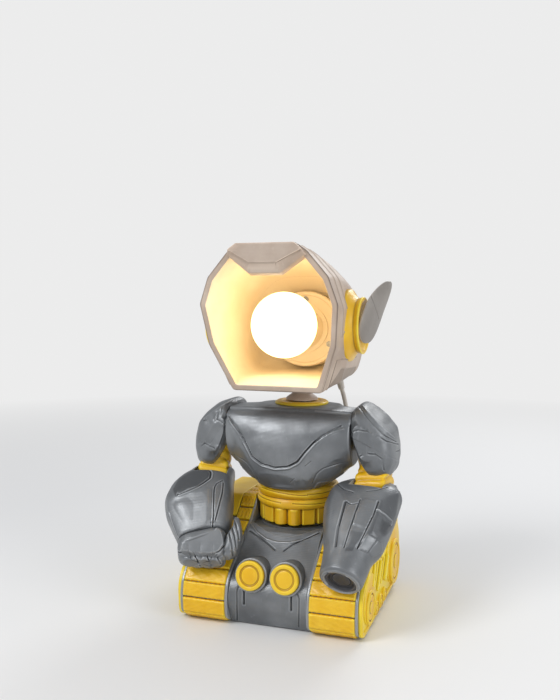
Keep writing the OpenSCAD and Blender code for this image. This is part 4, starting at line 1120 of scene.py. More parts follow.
def torso_half(skin, front):
    """The front or rear of the torso, closed at the seam and with soft edges there."""
    half = skin.copy()
    seam = SEAM_Y - 0.1 if front else SEAM_Y + 0.1
    geom = list(half.bm.verts) + list(half.bm.edges) + list(half.bm.faces)
    cut = bmesh.ops.bisect_plane(half.bm, geom=geom, plane_co=(0, seam, 0), plane_no=(0, 1, 0),
                                 clear_outer=front, clear_inner=not front)
    rim = [g for g in cut["geom_cut"] if isinstance(g, bmesh.types.BMEdge)]
    bmesh.ops.edgeloop_fill(half.bm, edges=rim)
    edge = [e for e in half.bm.edges if e.calc_face_angle(0) > math.radians(50)
            and all(abs(v.co.y - seam) < 0.01 for v in e.verts)]
    bmesh.ops.bevel(half.bm, geom=edge, offset=0.45, segments=2, profile=0.5, affect="EDGES")
    half.bm.normal_update()
    return half


make_torso()


# ---------------------------------------------------------------- waist
WAIST_R, DECK_H, FLUTE_H = 40, 78, 14
# The fluted ring: radius in its grooves and of its flutes, then the two round lobes at its front.
GROOVE_R, FLUTE_TOP, LOBE_AT, LOBE_R = 33.6, 3.0, 33.2, 6.0
# The bellows: radius between the rings, how far they swell, and the radius they start from.
BELLOWS_R, BELLOWS_SWELL, BELLOWS_FOOT_R = WAIST_R - 3.4, 2.9, 35.2
# Folds of the bellows: height as a part of theirs, first and last angle.
FOLD_R = 39
BELLOWS_FOLDS = ((0.3, 200, 262), (0.36, 280, 345), (0.78, 225, 300), (0.83, 300, 350), (0.2, 20, 80),
    (0.7, 60, 150))


def flute_radii(t):
    """Radius of the fluted ring at the angles t."""
    def off(at):
        return (np.degrees(t) - at + 180) % 360 - 180
    radii = np.full_like(t, GROOVE_R)
    for at in (270 - 11, 270 + 11):
        d = np.radians(off(at))
        across = LOBE_AT * np.sin(d)
        reach = LOBE_AT * np.cos(d) + np.sqrt(np.maximum(LOBE_R ** 2 - across ** 2, 0))
        radii = np.maximum(radii, np.where((np.abs(across) < LOBE_R) & (np.abs(d) < 0.6), reach, 0))
    for at in [270 + side * (33 + 24 * k) for side in (-1, 1) for k in range(7)]:
        d = np.abs(off(at))
        rise = FLUTE_TOP * smoothstep((10 - d) / 1.2) + 0.006 * d * d * (d < 10)
        radii = np.maximum(radii, GROOVE_R + rise)
    return radii


def make_waist():
    """Two bellows rings over a fluted ring."""
    t = round_angles(540)
    flutes = flute_radii(t)
    low = DECK_H + 1 + FLUTE_H
    rows = [ring_rows(t, flutes, z) for z in np.linspace(DECK_H + 1, low, 16)]
    for k in np.linspace(0.01, 1, 54):
        swell = BELLOWS_SWELL * abs(math.sin(k * 2 * math.pi)) ** 0.62
        r = BELLOWS_R + swell + 0.35 * np.sin(3 * t + 9 * k) * min(1, swell)
        blend = smoothstep(k * 14)
        r = r * blend + np.maximum(flutes, BELLOWS_FOOT_R) * (1 - blend)
        rows.append(ring_rows(t, r, low + k * (TORSO_Z - low - 0.3)))
    skin = Skin.of_rows(rows)
    folds = []
    for k, a0, a1 in BELLOWS_FOLDS:
        a = np.radians(np.linspace(a0, a1, 14))
        z = low + k * (TORSO_Z - low) + 1.5 * np.sin(a * 2)
        folds.append(np.stack([FOLD_R * np.cos(a), FOLD_R * np.sin(a), z], -1))
    skin.carve(folds, 1.1, 0.6)
    skin.publish("waist_bellows", "yellow_print", ["waist"])


make_waist()


# ---------------------------------------------------------------- hull and front plate
HULL_HALF, PLATE_T, SCOOP_R = 36.5, 3, 48
SLOPE = ([(-83, 0.8)] + arc((-68, 24), 24.5, 200, 140, 10)
         + [(-58, 62), (-44, 75), (-38, DECK_H), (-30, DECK_H)])
EYEBROWS = drawn([(500, 838), (560, 880), (606, 915), (637, 943)],
    [(884, 848), (800, 884), (735, 915), (688, 948)])
SLOTS = drawn([(465, 1160), (465, 1246)], [(727, 1196), (727, 1282)])
SIDE_LINES = drawn([(436, 1146), (426, 1170), (428, 1335)], [(756, 1182), (772, 1206), (770, 1392)])
SCOOP_BEAD = [[(251, 524), (257, 532), (266, 539), (277, 542.5), (289, 543), (301, 540.5), (311, 536),
     (318, 532.5)]]


def make_front_plate():
    """A bent plate down the hull's slope, whose top edge follows the round scoop under the waist."""
    curve = blurred(even(SLOPE, 130, closed=False), 2.2, closed=False)
    s = distances(curve)
    rows = []
    for x in np.linspace(-HULL_HALF + 0.5, HULL_HALF - 0.5, 74):
        edge_y = -math.sqrt(SCOOP_R ** 2 - x * x)
        end = float(np.interp(edge_y, curve[60:, 0], s[60:]))
        y, z = along(curve, s, np.linspace(0, end, 96)).T
        dy, dz = np.gradient(y), np.gradient(z)
        n = np.hypot(dy, dz)
        a = np.stack([np.full_like(y, x), y, z], -1)
        b = np.stack([np.full_like(y, x), y + dz / n * PLATE_T, z - dy / n * PLATE_T], -1)
        rows.append(np.vstack([a, (a[-1:] + b[-1:]) / 2, b[::-1], (a[:1] + b[:1]) / 2]))
    skin = Skin.of_rows(rows, ends=(False, False))
    for ring in (rows[0], rows[-1]):
        edges = [e for e in skin.bm.edges if e.is_boundary
                 and all(abs(v.co.x - ring[0][0]) < 1e-6 for v in e.verts)]
        bmesh.ops.edgeloop_fill(skin.bm, edges=edges)
    bmesh.ops.recalc_face_normals(skin.bm, faces=skin.bm.faces)
    skin.round_edges(0.5, 2, 60)
    for lines, width, depth in ((EYEBROWS, 1.3, 1.1), (SLOTS, 1.5, 1.9), (SIDE_LINES, 1.1, 0.8),
                                (SCOOP_BEAD, 1.2, -0.7)):
        skin.carve(skin.traces(lines), width, depth)
    skin.roughen(12, 0.15)
    skin.publish("front_apron", "grey_print", ["front_plate"])


make_front_plate()


# ---------------------------------------------------------------- headlights
LAMP_PITCH, LAMP_R, LAMP_TILT, CAP_SEAT = 32, 15, 12, 1.6
LAMP_Y, LAMP_Z = -88.7, 46.3


def make_headlights():
    """Two short tubes on the front plate, each with a ringed cap."""
    housings, caps = Skin(), Skin()
    r = LAMP_R
    shell = filleted([(r, -30), (r, -0.7), (r - 0.7, 0), (r - 2, 0), (r - 2, -CAP_SEAT),
                      (4, -CAP_SEAT)], 0.5)
    cap = filleted([(r - 2.1, -CAP_SEAT), (r - 2.1, 3.0), (r - 3, 4), (r * 0.66, 4.0), (r * 0.6, 2.6),
                    (r * 0.52, 2.4), (r * 0.46, 3.0), (2, 3.2)], 0.6)
    for side in (-1, 1):
        place = translation(side * LAMP_PITCH / 2, LAMP_Y, LAMP_Z) @ rotation(90 - LAMP_TILT, "X")
        housings.add(Skin.turned(shell, 96).moved(place))
        caps.add(Skin.turned(cap, 96).moved(place))
    housings.publish("headlight_tubes", "grey_print", ["headlight_housings"])
    caps.publish("headlight_lids", "yellow_print", ["headlight_caps"])


make_headlights()


# ---------------------------------------------------------------- tracks
# Inner and outer side of the left track, and the width of its rims.
TRACK_X0, TRACK_X1, RIM_T = 36.5, 81.5, 2.4
FENDER_H, REAR_R, NOSE_R = 98, 26, 25.5
# Tread pads: number, thickness, gap, and where the first one starts as a part of a pad.
PAD_COUNT, PAD_T, PAD_GAP, PAD_PHASE = 32, 3.5, 2, 0.86
# The track from the side, in (y, z), clockwise from under its nose.
TRACK_LINE = (arc((-85, 9.5), 9.5, 270, 195, 4) + arc((-70, NOSE_R), NOSE_R, 182, 125, 5)
              + [(-63, 61), (-42, 74), (-28, 81), (-12, FENDER_H)]
              + arc((56, FENDER_H - 22), 22, 90, 0, 6) + arc((52, REAR_R), REAR_R, 0, -90, 7))
FENDER_FROM, FENDER_LOW, FENDER_X0, FENDER_T = -34, 34, 53.5, 3
SKIRT_T = 3
SKIRT_X = TRACK_X1 + SKIRT_T
WAIST_CLEAR = WAIST_R + 0.4


def pad_points():
    """Where one pad ends and the next begins, along the track's line."""
    p = np.array(TRACK_LINE + TRACK_LINE[:1], float)
    s = distances(p)
    return along(p, s, s[-1] * (np.arange(PAD_COUNT) + PAD_PHASE) / PAD_COUNT)


def clear_waist(skin):
    """Keeps the inner side of a track off the waist."""
    co, _ = skin.arrays()
    near = (co[:, 2] > DECK_H) & (np.abs(co[:, 1]) < WAIST_CLEAR)
    limit = np.sqrt(np.maximum(WAIST_CLEAR ** 2 - co[:, 1] ** 2, 0))
    co[:, 0] = np.where(near, np.maximum(co[:, 0], limit), co[:, 0])
    return skin.place(co)


def make_tracks():
    """Core with raised rims, and the tread pads."""
    pads = pad_points()
    smooth = blurred(even(pads, 512), 3.5)
    core = Skin.prism(inset(smooth, PAD_T + 0.1), TRACK_X0 + 0.2, TRACK_X1 - 0.2, 0.2, 1)
    for x0, x1 in ((TRACK_X0, TRACK_X0 + RIM_T), (TRACK_X1 - RIM_T, TRACK_X1)):
        core.add(Skin.prism(inset(smooth, 0.7), x0, x1, 0.6, 3))
    clear_waist(core)
    tread = Skin()
    for i in range(PAD_COUNT):
        tread.add(one_pad(pads[i], pads[(i + 1) % PAD_COUNT], i))
    publish_pairs((core, "track_belt_", "grey_print", "track_", 40),
                  (tread, "track_treads_", "yellow_print", "track_pads_", None))


def one_pad(a, b, i):
    """Tread pad i from a to b, with round edges, a slight crown and small dents."""
    mid = (a + b) / 2
    d = b - a
    length = np.linalg.norm(d) - PAD_GAP
    covered = mid[0] > FENDER_FROM and max(a[1], b[1]) > FENDER_LOW - 1
    x0, x1 = TRACK_X0 + RIM_T + 0.1, (FENDER_X0 - 1 if covered else TRACK_X1 - RIM_T - 0.1)
    if max(a[1], b[1]) > DECK_H:
        y = 0 if a[0] * b[0] < 0 else min(abs(a[0]), abs(b[0]))
        x0 = max(x0, math.sqrt(max(0, WAIST_CLEAR ** 2 - y * y)))
    bm = bmesh.new()
    bmesh.ops.create_grid(bm, x_segments=44, y_segments=14, size=0.5)
    for v in bm.verts:
        u, w = v.co.x, v.co.y
        edge = min((0.5 - abs(u)) * (x1 - x0), (0.5 - abs(w)) * length)
        dent = (0.26 * math.sin(u * 23 + i * 2.1 + 2 * math.sin(w * 5 + i)) * math.sin(w * 9 + i * 3.3)
                + 0.16 * math.sin(u * 53 + i * 5) * math.sin(w * 27 + 3 * u))
        top = 0.25 * (1 - (2 * w) ** 2) + dent * min(1, edge / 1.5) - 0.7 * max(0, 1 - edge / 0.9) ** 2
        ragged = 1 + 0.035 * math.sin(u * 31 + i * 1.7) * math.sin(u * 87 + i)
        v.co = ((x0 + x1) / 2 + u * (x1 - x0), w * length * ragged, top)
    skirt = bmesh.ops.extrude_edge_only(bm, edges=[e for e in bm.edges if e.is_boundary])
    for g in skirt["geom"]:
        if isinstance(g, bmesh.types.BMVert):
            g.co.z = -PAD_T
            g.co.y *= 0.97
    bmesh.ops.recalc_face_normals(bm, faces=bm.faces)
    angle = math.atan2(d[1], d[0])
    skin = Skin(bm).moved(translation(0, *mid) @ Matrix.Rotation(angle, 4, "X"))
    # The grid's own faces come first; they have to look away from the track.
    top = sum((f.normal for f in skin.bm.faces[:400]), Vector())
    if top.dot(Vector((0, -math.sin(angle), math.cos(angle)))) < 0:
        skin.flip()
    return skin


make_tracks()


# ---------------------------------------------------------------- fenders, skirts and wheels
SKIRT_LINE = (arc((-82, 10.5), 9, 262, 190, 8) + arc((-68, 26), 24, 182, 125, 12) + [(-58, 55), (-30, 70)]
              + arc((46, FENDER_H - 26), 20, 90, 0, 14) + arc((50, REAR_R), 24, 0, -82, 18))
# Wheels: middle, radius, height and radius of the hub; the last three are the rollers.
WHEELS = [((42, 29), 22, 4, 7), ((-65, 22), 15, 3, 5)]
ROLLERS = [((-38 + 18 * k, 11), 6.4, 2.6, 2.4) for k in range(3)]
# Low round bosses under the wheels: middle and radius.
BOSSES = [((44, 38), 31), ((-62, 28), 22)]
# Slats: middle y and z, height, width, lean and thickness.
SLATS = [(7, 34, 25, 7, -36, 2.6), (-8, 36, 26, 2.4, -36, 1.4), (-24, 36, 28, 4.4, -36, 2.2),
    (-36, 40, 26, 2.4, -32, 1.4), (-47, 44, 20, 4.4, -26, 2.0), (-9, 54, 12, 5, -36, 1.8)]


def make_fenders():
    cover = [p for p in TRACK_LINE if p[0] > FENDER_FROM - 1 and p[1] > FENDER_LOW]
    cover.append((52 + REAR_R, FENDER_LOW))
    path = blurred(even(cover, 140, closed=False), 3, closed=False)
    outline = np.vstack([path, inset(path, FENDER_T, closed=False)[::-1]])
    band = Skin.prism(outline, FENDER_X0, TRACK_X1 + 0.1, 0.8, 3)
    publish_pairs((band, "fender_cover_", "yellow_print", "fender_", 40))


def on_skirt(centre, profile):
    """A disc in relief on the skirt."""
    turn = translation(SKIRT_X, *centre) @ rotation(90, "Y")
    return Skin.turned(filleted(profile, 0.5), 80).moved(turn)


def wheel(centre, r, t, hub):
    """A wheel's face: rim, groove, dish and hub."""
    return on_skirt(centre, [(r, -0.5), (r, t - 0.8), (r - 1, t), (r * 0.84, t), (r * 0.8, t - 1.3),
                             (r * 0.73, t - 1.3), (r * 0.69, t - 0.2), (r * 0.5, t - 0.7), (hub, t - 0.9),
                             (hub - 0.6, t), (0.5, t)])


def boss(centre, r):
    return on_skirt(centre, [(r, -0.5), (r, 1.0), (0.5, 1.0)])


def slat(y, z, high, wide, lean, t):
    h, w = high / 2, wide / 2
    skin = Skin.prism([(-w, -h), (w, -h), (w, h), (-w, h)], 0, t, 0.7, 3)
    return skin.moved(translation(SKIRT_X - 0.2, y, z) @ rotation(lean, "X"))


def make_skirts():
    """A plate with a raised edge, and the wheels and slats on it."""
    ring = blurred(even(SKIRT_LINE, 360), 2)
    plate = Skin.prism(ring, TRACK_X1 + 0.05, SKIRT_X - 0.4, 0.5, 2)
    outer, inner = inset(ring, 0.3), inset(ring, 4.2)
    x0, x1 = SKIRT_X - 1.4, SKIRT_X + 0.6
    edge = ((outer, x0), (outer, x1 - 0.5), (inset(outer, 0.5), x1), (inset(inner, -0.5), x1),
            (inner, x1 - 0.5), (inner, x0))
    rows = [np.column_stack([np.full(len(q), x), q]) for q, x in edge]
    plate.add(Skin.of_rows(rows, ends=(False, False), wrap=True))
    relief = Skin()
    for make, table in ((wheel, WHEELS), (boss, BOSSES), (wheel, ROLLERS), (slat, SLATS)):
        for values in table:
            relief.add(make(*values))
    publish_pairs((plate, "skirt_plate_", "yellow_print", "side_skirt_", 40),
                  (relief, "skirt_relief_", "yellow_print", "skirt_wheels_", 50))


make_fenders()
make_skirts()


# ---------------------------------------------------------------- arms
SHOULDER, ELBOW = Vector((77, -8, 163)), Vector((79, -20, 118))
CORE_X0, BALL_R, ELBOW_R, ELBOW_W = 60.3, 16.5, 17, 30
# The forearms hang at the slope from the elbow to just over the track's nose.
ARM_PITCH = math.degrees(math.atan2(118 - 51 - 29.7, 50))
CANNON_YAW, FIST_YAW = -6.7, 13.5
CANNON_LEN, WRIST, RIM_TILT, MUZZLE_R, MUZZLE_Y = 106, 80, 0.28, 12.5, 0.5
FOLD_PITCH, BALL_END = 8.5, math.degrees(1.55)
# The sleeve is a rod into the torso, a ball, a cone to the elbow (three radii) and a round knuckle.
ROD_R, ROD_X1, CONE_R, KNUCKLE_ROUND = 15, 78, (16, 14.5, 13), 6


def elbow_frame(yaw):
    return Matrix.Translation(ELBOW) @ rotation(yaw, "Z")


def forearm_frame(yaw):
    return elbow_frame(yaw) @ rotation(90 + ARM_PITCH, "X")


def arm_core(yaw, seed):
    """Soft yellow arm with folds between shoulder and elbow."""
    rod = Skin.turned([(ROD_R, x) for x in (CORE_X0, (CORE_X0 + ROD_X1) / 2, ROD_X1)], 64)
    skin = rod.moved(rotation(90, "Y")).moved(translation(0, SHOULDER.y, SHOULDER.z))
    ball = Skin.turned(arc((0, 0), BALL_R, -BALL_END, BALL_END, 23), 64)
    skin.add(ball.moved(Matrix.Translation(SHOULDER)))
    axis = ELBOW - SHOULDER
    cone = Skin.turned(list(zip(CONE_R, (0, axis.length / 2, axis.length))), 64)
    skin.add(cone.moved(Matrix.Translation(SHOULDER) @ axis.to_track_quat("Z", "Y").to_matrix().to_4x4()))
    half = ELBOW_W / 2 - 0.2
    r = ELBOW_R - 0.3
    knuckle = filleted([(8, -half), (r, -half), (r, half), (8, half)], KNUCKLE_ROUND, 8)
    skin.add(Skin.turned(knuckle, 64).moved(rotation(90, "Y")).moved(elbow_frame(yaw)))
    skin.remeshed(0.9, 8)
    down = np.array(axis.normalized())
    side = unit(np.cross(down, (0, 1, 0)))
    front = np.cross(side, down)
    q = skin.arrays()[0] - np.array(SHOULDER)
    t = q @ down
    a = np.arctan2(q @ front, q @ side)
    wave = np.sin(t / FOLD_PITCH * 2 * np.pi + 2.2 * np.sin(a + seed) + 0.6 * np.sin(3 * a + seed))
    crease = (1 - smoothstep((wave + 1) / 0.8)) * 0.7 + 0.5 * (1 - wave) / 2
    return skin.lift(-smoothstep((t - 8) / 8) * crease, 1.1)


# The armour seen from the front, and how large that outline is from its front to its rear.
ARMOR_SIDE = [(65, 151), (60, 166), (59.5, 188), (64, 192), (75, 188.5), (86, 180), (94, 170), (98, 156),
    (98.5, 143), (96, 130), (89, 124.5), (78, 125.5), (71, 136)]
ARMOR_K = [(-37, 0.5), (-34, 0.78), (-26, 0.95), (-12, 1), (4, 1), (16, 0.93), (22, 0.78), (25, 0.5)]
# Grooves, ridge and flat facets of the armour, first the left one and then the right one.
ARMOR_LINES = drawn([(1096, 134), (1132, 182), (1182, 244), (1250, 308), (1312, 342)],
    [(1050, 292), (1100, 278), (1150, 283), (1204, 306), (1262, 340), (1322, 356)],
    [(1112, 424), (1150, 409), (1202, 414), (1236, 442), (1246, 500)])
ARMOR_RIDGE = drawn([(1112, 128), (1160, 186), (1222, 252), (1302, 322)])
ARMOR_FACETS = [[(358, 404), (372, 397), (390, 406), (400, 425), (400, 441), (385, 434.5), (373, 423)],
    [(349, 432), (351, 408), (357, 404.5), (364, 414), (373, 425), (384, 436), (376, 434), (367, 430),
     (358, 429)],
    [(348, 434), (358, 431.5), (367, 432.5), (376, 437), (387, 443), (400, 446), (402, 470), (386, 472),
     (383, 460), (376, 454), (367, 453), (359, 456), (349, 456)]]
ARMOR_RIGHT_FACETS = [
    [(205, 417), (219, 406), (237, 399), (239, 404), (232, 417.5), (224, 422.5), (213, 416.5)],
    [(201, 422), (213, 418.5), (224, 425), (231, 421), (229, 446), (214, 447), (200, 441)]]
ARMOR_RIGHT_LINES = drawn([(240, 226), (298, 206), (356, 242), (402, 214), (442, 132)],
    [(236, 346), (300, 378)])
ARMOR_RIGHT_RIDGE = drawn([(246, 214), (330, 150), (402, 110)])
ARMOR_REAR = [[(66, 22, 186), (80, 22, 172), (92, 20, 150)],
    [(96, 14, 150), (99, 0, 148), (99, -14, 150)], [(70, 24, 150), (84, 24, 138), (96, 16, 132)]]
# Side, name, yaw of the forearm, seed of the folds, and the armour's lines, ridge and facets.
ARMS = ((1, "left", CANNON_YAW, 1.0, ARMOR_LINES, ARMOR_RIDGE, ARMOR_FACETS),
    (-1, "right", -FIST_YAW, 2.4, ARMOR_RIGHT_LINES, ARMOR_RIGHT_RIDGE, ARMOR_RIGHT_FACETS))


def armor():
    """Shoulder armour: its outline seen from the front, smaller towards its front and rear."""
    middle = np.array([63, 160])
    outline = blurred(even(ARMOR_SIDE, 220), 3.0)
    ys = np.linspace(-37, 25, 64)
    rows = []
    for y, k in zip(ys, column(ARMOR_K, ys)):
        x, z = (middle + (outline - middle) * k).T
        rows.append(np.stack([x, np.full_like(x, y), z], -1))
    skin = Skin.of_rows(closed_rows(rows, 3, 3))
    co, _ = skin.arrays()
    co[:, 0] = np.maximum(co[:, 0], CORE_X0 + 0.05)
    return skin.place(co)


def make_arms():
    """Upper arms: the soft sleeve and the armour over it."""
    for side, name, yaw, seed, lines, ridge, facets in ARMS:
        core, plate = arm_core(yaw, seed), armor()
        if side < 0:
            core, plate = core.mirrored(), plate.mirrored()
        for facet in facets:
            plate.flatten(facet, 0.7, 1.4, 2.5)
        rear = [[(side * x, y, z) for x, y, z in line] for line in ARMOR_REAR]
        plate.carve_all((plate.traces(lines), 1.2, 0.7), (plate.traces(ridge), 1.3, -0.5), (rear, 1.2, 0.6))
        plate.roughen(12, 0.25, side)
        core.publish("arm_sleeve_" + name, "yellow_print", ["arm_core_" + name])
        plate.publish("shoulder_plate_" + name, "grey_print", ["shoulder_armor_" + name])


make_arms()


# ---------------------------------------------------------------- forearms
FIST_FRAME = MIRROR_X @ forearm_frame(-FIST_YAW)


def loft_rows(rows, n, m):
    """m rings of n points between rows of (z, centre, half width, below, above, exponent, tilt)."""
    r = np.array(rows, float)
    z = np.linspace(r[0, 0], r[-1, 0], m)
    out = []
    for height, (x, half, below, above, power, tilt) in zip(z, smooth_at(r[:, 0], r[:, 1:], z)):
        ring = oval(height, x, half, -below, above, power, n)
        ring[:, 2] += tilt * ring[:, 0]
        out.append(ring)
    return out


def elbow_cutter():
    """The room a forearm leaves round the elbow's knuckle."""
    w, r = ELBOW_W / 2 + 0.3, ELBOW_R + 0.3
    profile = [(-r, -40), (-r, 0)] + arc((0, 0), r, 170, 90, 11) + [(45, r), (45, -40)]
    return Skin.prism(profile, -w, w, 0)


# Sections for loft_rows; the lines and outlines after them are in pixels.
CANNON_ROWS = [(-6, -3, 22, 11, 3, 2.4, 0), (0, -3.5, 26, 14, 8, 2.5, 0),
    (11, -2.5, 31.5, 16, 17, 2.6, 0), (22, -3, 32.5, 17.5, 22, 2.6, 0), (34, -3, 32.5, 18.5, 24, 2.5, 0),
    (48.8, -2, 30.5, 19, 24.5, 2.4, 0), (68.9, 0, 26.5, 18.5, 23, 2.2, 0),
    (81.6, -0.5, 21.5, 17.5, 21, 2, 0), (94.3, 0, 19.7, 17, 20, 2, 0), (102.8, 0, 18.8, 16.5, 19, 2, 0),
    (106, 0, 17, 15.5, 17, 2, 0)]
CANNON_FACETS = [
    [(333, 486), (343, 492), (346, 501), (338, 523), (336, 546), (329, 558), (326, 535), (330, 505)],
    [(347, 502), (360, 503), (351, 530), (343, 548), (338, 546), (339, 523)],
    [(361, 503), (380, 500), (369, 530), (356, 548), (345, 548), (352, 530)],
    [(381, 500), (401, 489), (398, 515), (390, 530), (380, 540), (366, 532), (370, 530)]]
CANNON_GROOVES = drawn([(1030, 676), (1010, 742), (986, 830), (976, 922)],
    [(1112, 664), (1090, 722), (1052, 832), (1022, 930)],
    [(1216, 674), (1190, 742), (1150, 822), (1098, 934)], [(1034, 676), (1062, 690), (1102, 684)])
CANNON_CUFF = [[(332, 480), (337, 484), (343, 489), (353, 492)], [(367, 491), (377, 490), (387, 487.5)]]
CANNON_CLIP = drawn([(1206, 722), (1248, 748), (1288, 786), (1284, 806)])
CANNON_STEP = [(357.8, 549), (367.3, 534), (376.7, 539), (367, 552)]
CANNON_BLOCK = [(368.5, 551.5), (377.5, 540), (382, 544), (382, 552), (373, 557)]
CANNON_CAVITY = [(383, 519.5), (387, 521.5), (393, 526), (389, 532), (384, 536), (380, 530)]
CANNON_DARK = [(351, 530), (365, 533), (352, 551), (345, 551)]
CANNON_PANEL = drawn([(1130, 660), (1210, 672), (1188, 744), (1146, 826), (1070, 800), (1094, 724)])[0]
CANNON_LIFTS = ((CANNON_PANEL, 0.7, 0.5), (CANNON_BLOCK, 0.9, 0.5), (CANNON_STEP, 1.1, 0.5),
    (CANNON_CAVITY, -0.6, 3.0))
# Painted light on the cannon: painted highlights on the step, the block and two facets, painted shade in the
# cavity, on the dark patch and on one facet.
CANNON_SHADES = ((CANNON_STEP, -0.6, 1), (CANNON_CAVITY, 0.3, 4), (CANNON_DARK, 0.5, 1),
    (CANNON_FACETS[0], -0.35, 4), (CANNON_FACETS[2], -0.3, 4), (CANNON_FACETS[3], 0.3, 4),
    (CANNON_BLOCK, -0.2, 1))


def make_cannon():
    """The left forearm and the muzzle in its end."""
    r = MUZZLE_R
    skin = Skin.of_rows(closed_rows(loft_rows(CANNON_ROWS, 230, 116), 3, 1.6))
    skin.cut(elbow_cutter())
    bore = Skin.turned([(r + 1.6, CANNON_LEN - 4), (r + 1.5, CANNON_LEN + 3)], 96)
    skin.cut(bore.moved(translation(0, MUZZLE_Y, 0)))
    skin.moved(forearm_frame(CANNON_YAW))
    for facet in CANNON_FACETS:
        skin.flatten(facet, 0.45, 1.5, 3)
    grooves, cuff, clip = (skin.traces(lines) for lines in (CANNON_GROOVES, CANNON_CUFF, CANNON_CLIP))
    for outline, height, soft in CANNON_LIFTS:
        skin.lift(skin.within(outline, soft), height)
    # Painted highlights and painted shade, as the light falls on the cannon.
    for outline, amount, soft in CANNON_SHADES:
        skin.shade(outline, amount, soft)
    skin.carve_all((grooves[:1], 1.7, 1.9), (grooves[1:], 1.0, 0.8), (cuff, 1.0, 0.6), (clip, 2.1, -1.2))
    skin.roughen(12, 0.2)
    skin.publish("cannon_body", "grey_print", ["forearm_left"])
    ring = Skin.turned(filleted([(r + 1.3, -4), (r + 1.3, 2.2), (r + 0.6, 3), (r - 0.6, 3), (r - 1.4, 2.0),
                                 (r - 2.2, 0.6), (r - 4.6, 0.2), (r - 5.2, 0.9), (1, 0.9)], 0.5), 96)
    ring.moved(forearm_frame(CANNON_YAW) @ translation(0, MUZZLE_Y, CANNON_LEN - 4))
    ring.publish("cannon_muzzle", "dark_print", ["muzzle_left"])


# Sections for loft_rows; the lines and outlines after them are in pixels.
GAUNTLET_ROWS = [(-6, -1.2, 17.2, 11, 8, 2.4, 0), (0, 0.8, 20.2, 14, 14, 2.5, 0),
    (10, 2.2, 22.3, 16, 21, 2.6, 0), (20, 5, 26, 17, 26, 2.7, 0), (32, 7.5, 30, 18, 28, 2.8, 0),
    (44, 8.2, 31.8, 18, 28, 2.8, 0), (WRIST - 24, 6.8, 30.7, 18, 27.5, 2.8, 0.03),
    (WRIST - 14, 3.5, 27.5, 17.5, 25.5, 2.7, 0.12), (WRIST - 4, 0.5, 23.5, 16.5, 23, 2.6, 0.24),
    (WRIST, 0, 22.5, 16, 21.5, 2.6, RIM_TILT)]
GAUNTLET_FACETS = [[(164, 499), (172, 497), (188, 491), (205, 486), (213, 487), (211, 508), (211, 528),
     (181, 540), (172, 533), (165, 515)],
    [(215, 486), (222, 482), (221, 495), (219, 506), (215, 520), (213, 526), (212.5, 508)]]
HAND_FACETS = [[(181, 542), (179, 552), (200, 555), (212, 554), (220, 550), (225, 545), (224, 536),
     (220, 521), (213, 530), (191, 538)]]
PAD_OUTLINE = drawn([(236, 468), (284, 508), (282, 548), (236, 580), (150, 604), (86, 648), (72, 606),
                                        (108, 544), (168, 492)])[0]
GAUNTLET_RIDGES = [[(213.5, 487), (212.8, 500), (212.5, 515), (211.5, 527)],
    [(178.5, 495.8), (190, 491.5), (198, 488), (205, 483.5), (211.8, 478.5), (213, 473.5), (210.5, 468.5)],
    [(169, 513), (173, 524), (177.5, 536), (183.5, 541.5)],
    [(222, 482), (221, 493), (217.5, 506), (214, 521)]]
GAUNTLET_GROOVES = [
    [(177.8, 494.3), (189, 490), (197, 486.6), (204, 482), (209.8, 477.5), (211, 473), (208, 468)],
    [(222.5, 480.5), (217, 483), (214.3, 488), (214, 500), (213.6, 515), (212.6, 527)],
    [(167.5, 513), (171.5, 524), (176, 536)], [(223.5, 483), (222.5, 494), (219, 507), (215.3, 521)]]


def make_gauntlet():
    """The right forearm, with a sunk panel on its outer side."""
    skin = Skin.of_rows(closed_rows(loft_rows(GAUNTLET_ROWS, 230, 90), 3, 2.5))
    skin.cut(elbow_cutter())
    skin.moved(FIST_FRAME)
    for facet in [PAD_OUTLINE] + GAUNTLET_FACETS:
        skin.flatten(facet, 0.6, 1.8, 5)
    ridges, grooves = skin.traces(GAUNTLET_RIDGES), skin.traces(GAUNTLET_GROOVES)
    skin.lift(skin.within(PAD_OUTLINE, 0.6), -0.4)
    skin.shade(PAD_OUTLINE, 0.6, 2.0)
    # Painted highlight on the outer face.
    skin.shade(GAUNTLET_FACETS[0], -0.4, 6.0)
    skin.carve_all((ridges, 1.0, -0.5), (grooves, 1.1, 0.7))
    skin.roughen(12, 0.25, 2)
    skin.publish("gauntlet", "grey_print", ["forearm_right"])


# Sections of the hand: z, middle, half width, front, back, depth of the finger gaps, tilt.
HAND_ROWS = [(0, 0, 20, -14, 18, 0, RIM_TILT), (4, -0.6, 21.5, -15, 19.5, 0, 0.22),
    (10, -1, 21.6, -15, 19, 0.05, 0.12), (16, -1.3, 21.4, -14.5, 15.5, 0.16, 0.04),
    (20.5, -1.5, 20.8, -12.5, 10.5, 0.22, 0), (22.5, -1.5, 18.5, -8.5, 6, 0.25, 0)]
# Sections of the thumb for loft_rows, from the wrist.
THUMB_ROWS = [(-18, -29.5, 2.5, -8, 14, 2.4, 0), (-7, -31, 4.5, -3, 17, 2.6, 0),
    (2, -29, 7, 3, 16, 2.6, 0), (13, -26.5, 6.5, 5, 12, 2.6, 0), (18.5, -24, 4.5, 3, 8, 2.4, 0)]
KNUCKLE_EDGE = [(178, 552), (188, 554.5), (200, 555.5), (212, 554.5), (220, 551), (225, 545),
    (225.5, 538), (222, 524)]
FINGER_GAPS = [[(195, 556), (200, 566)], [(207, 556), (211, 566)], [(216, 555), (221, 564)]]
THUMB_PLEATS = [[(233, 519), (237, 528), (239.5, 540)], [(231, 526), (234.5, 536), (236.5, 548)],
    [(228.5, 533), (231.5, 544), (233, 556)]]


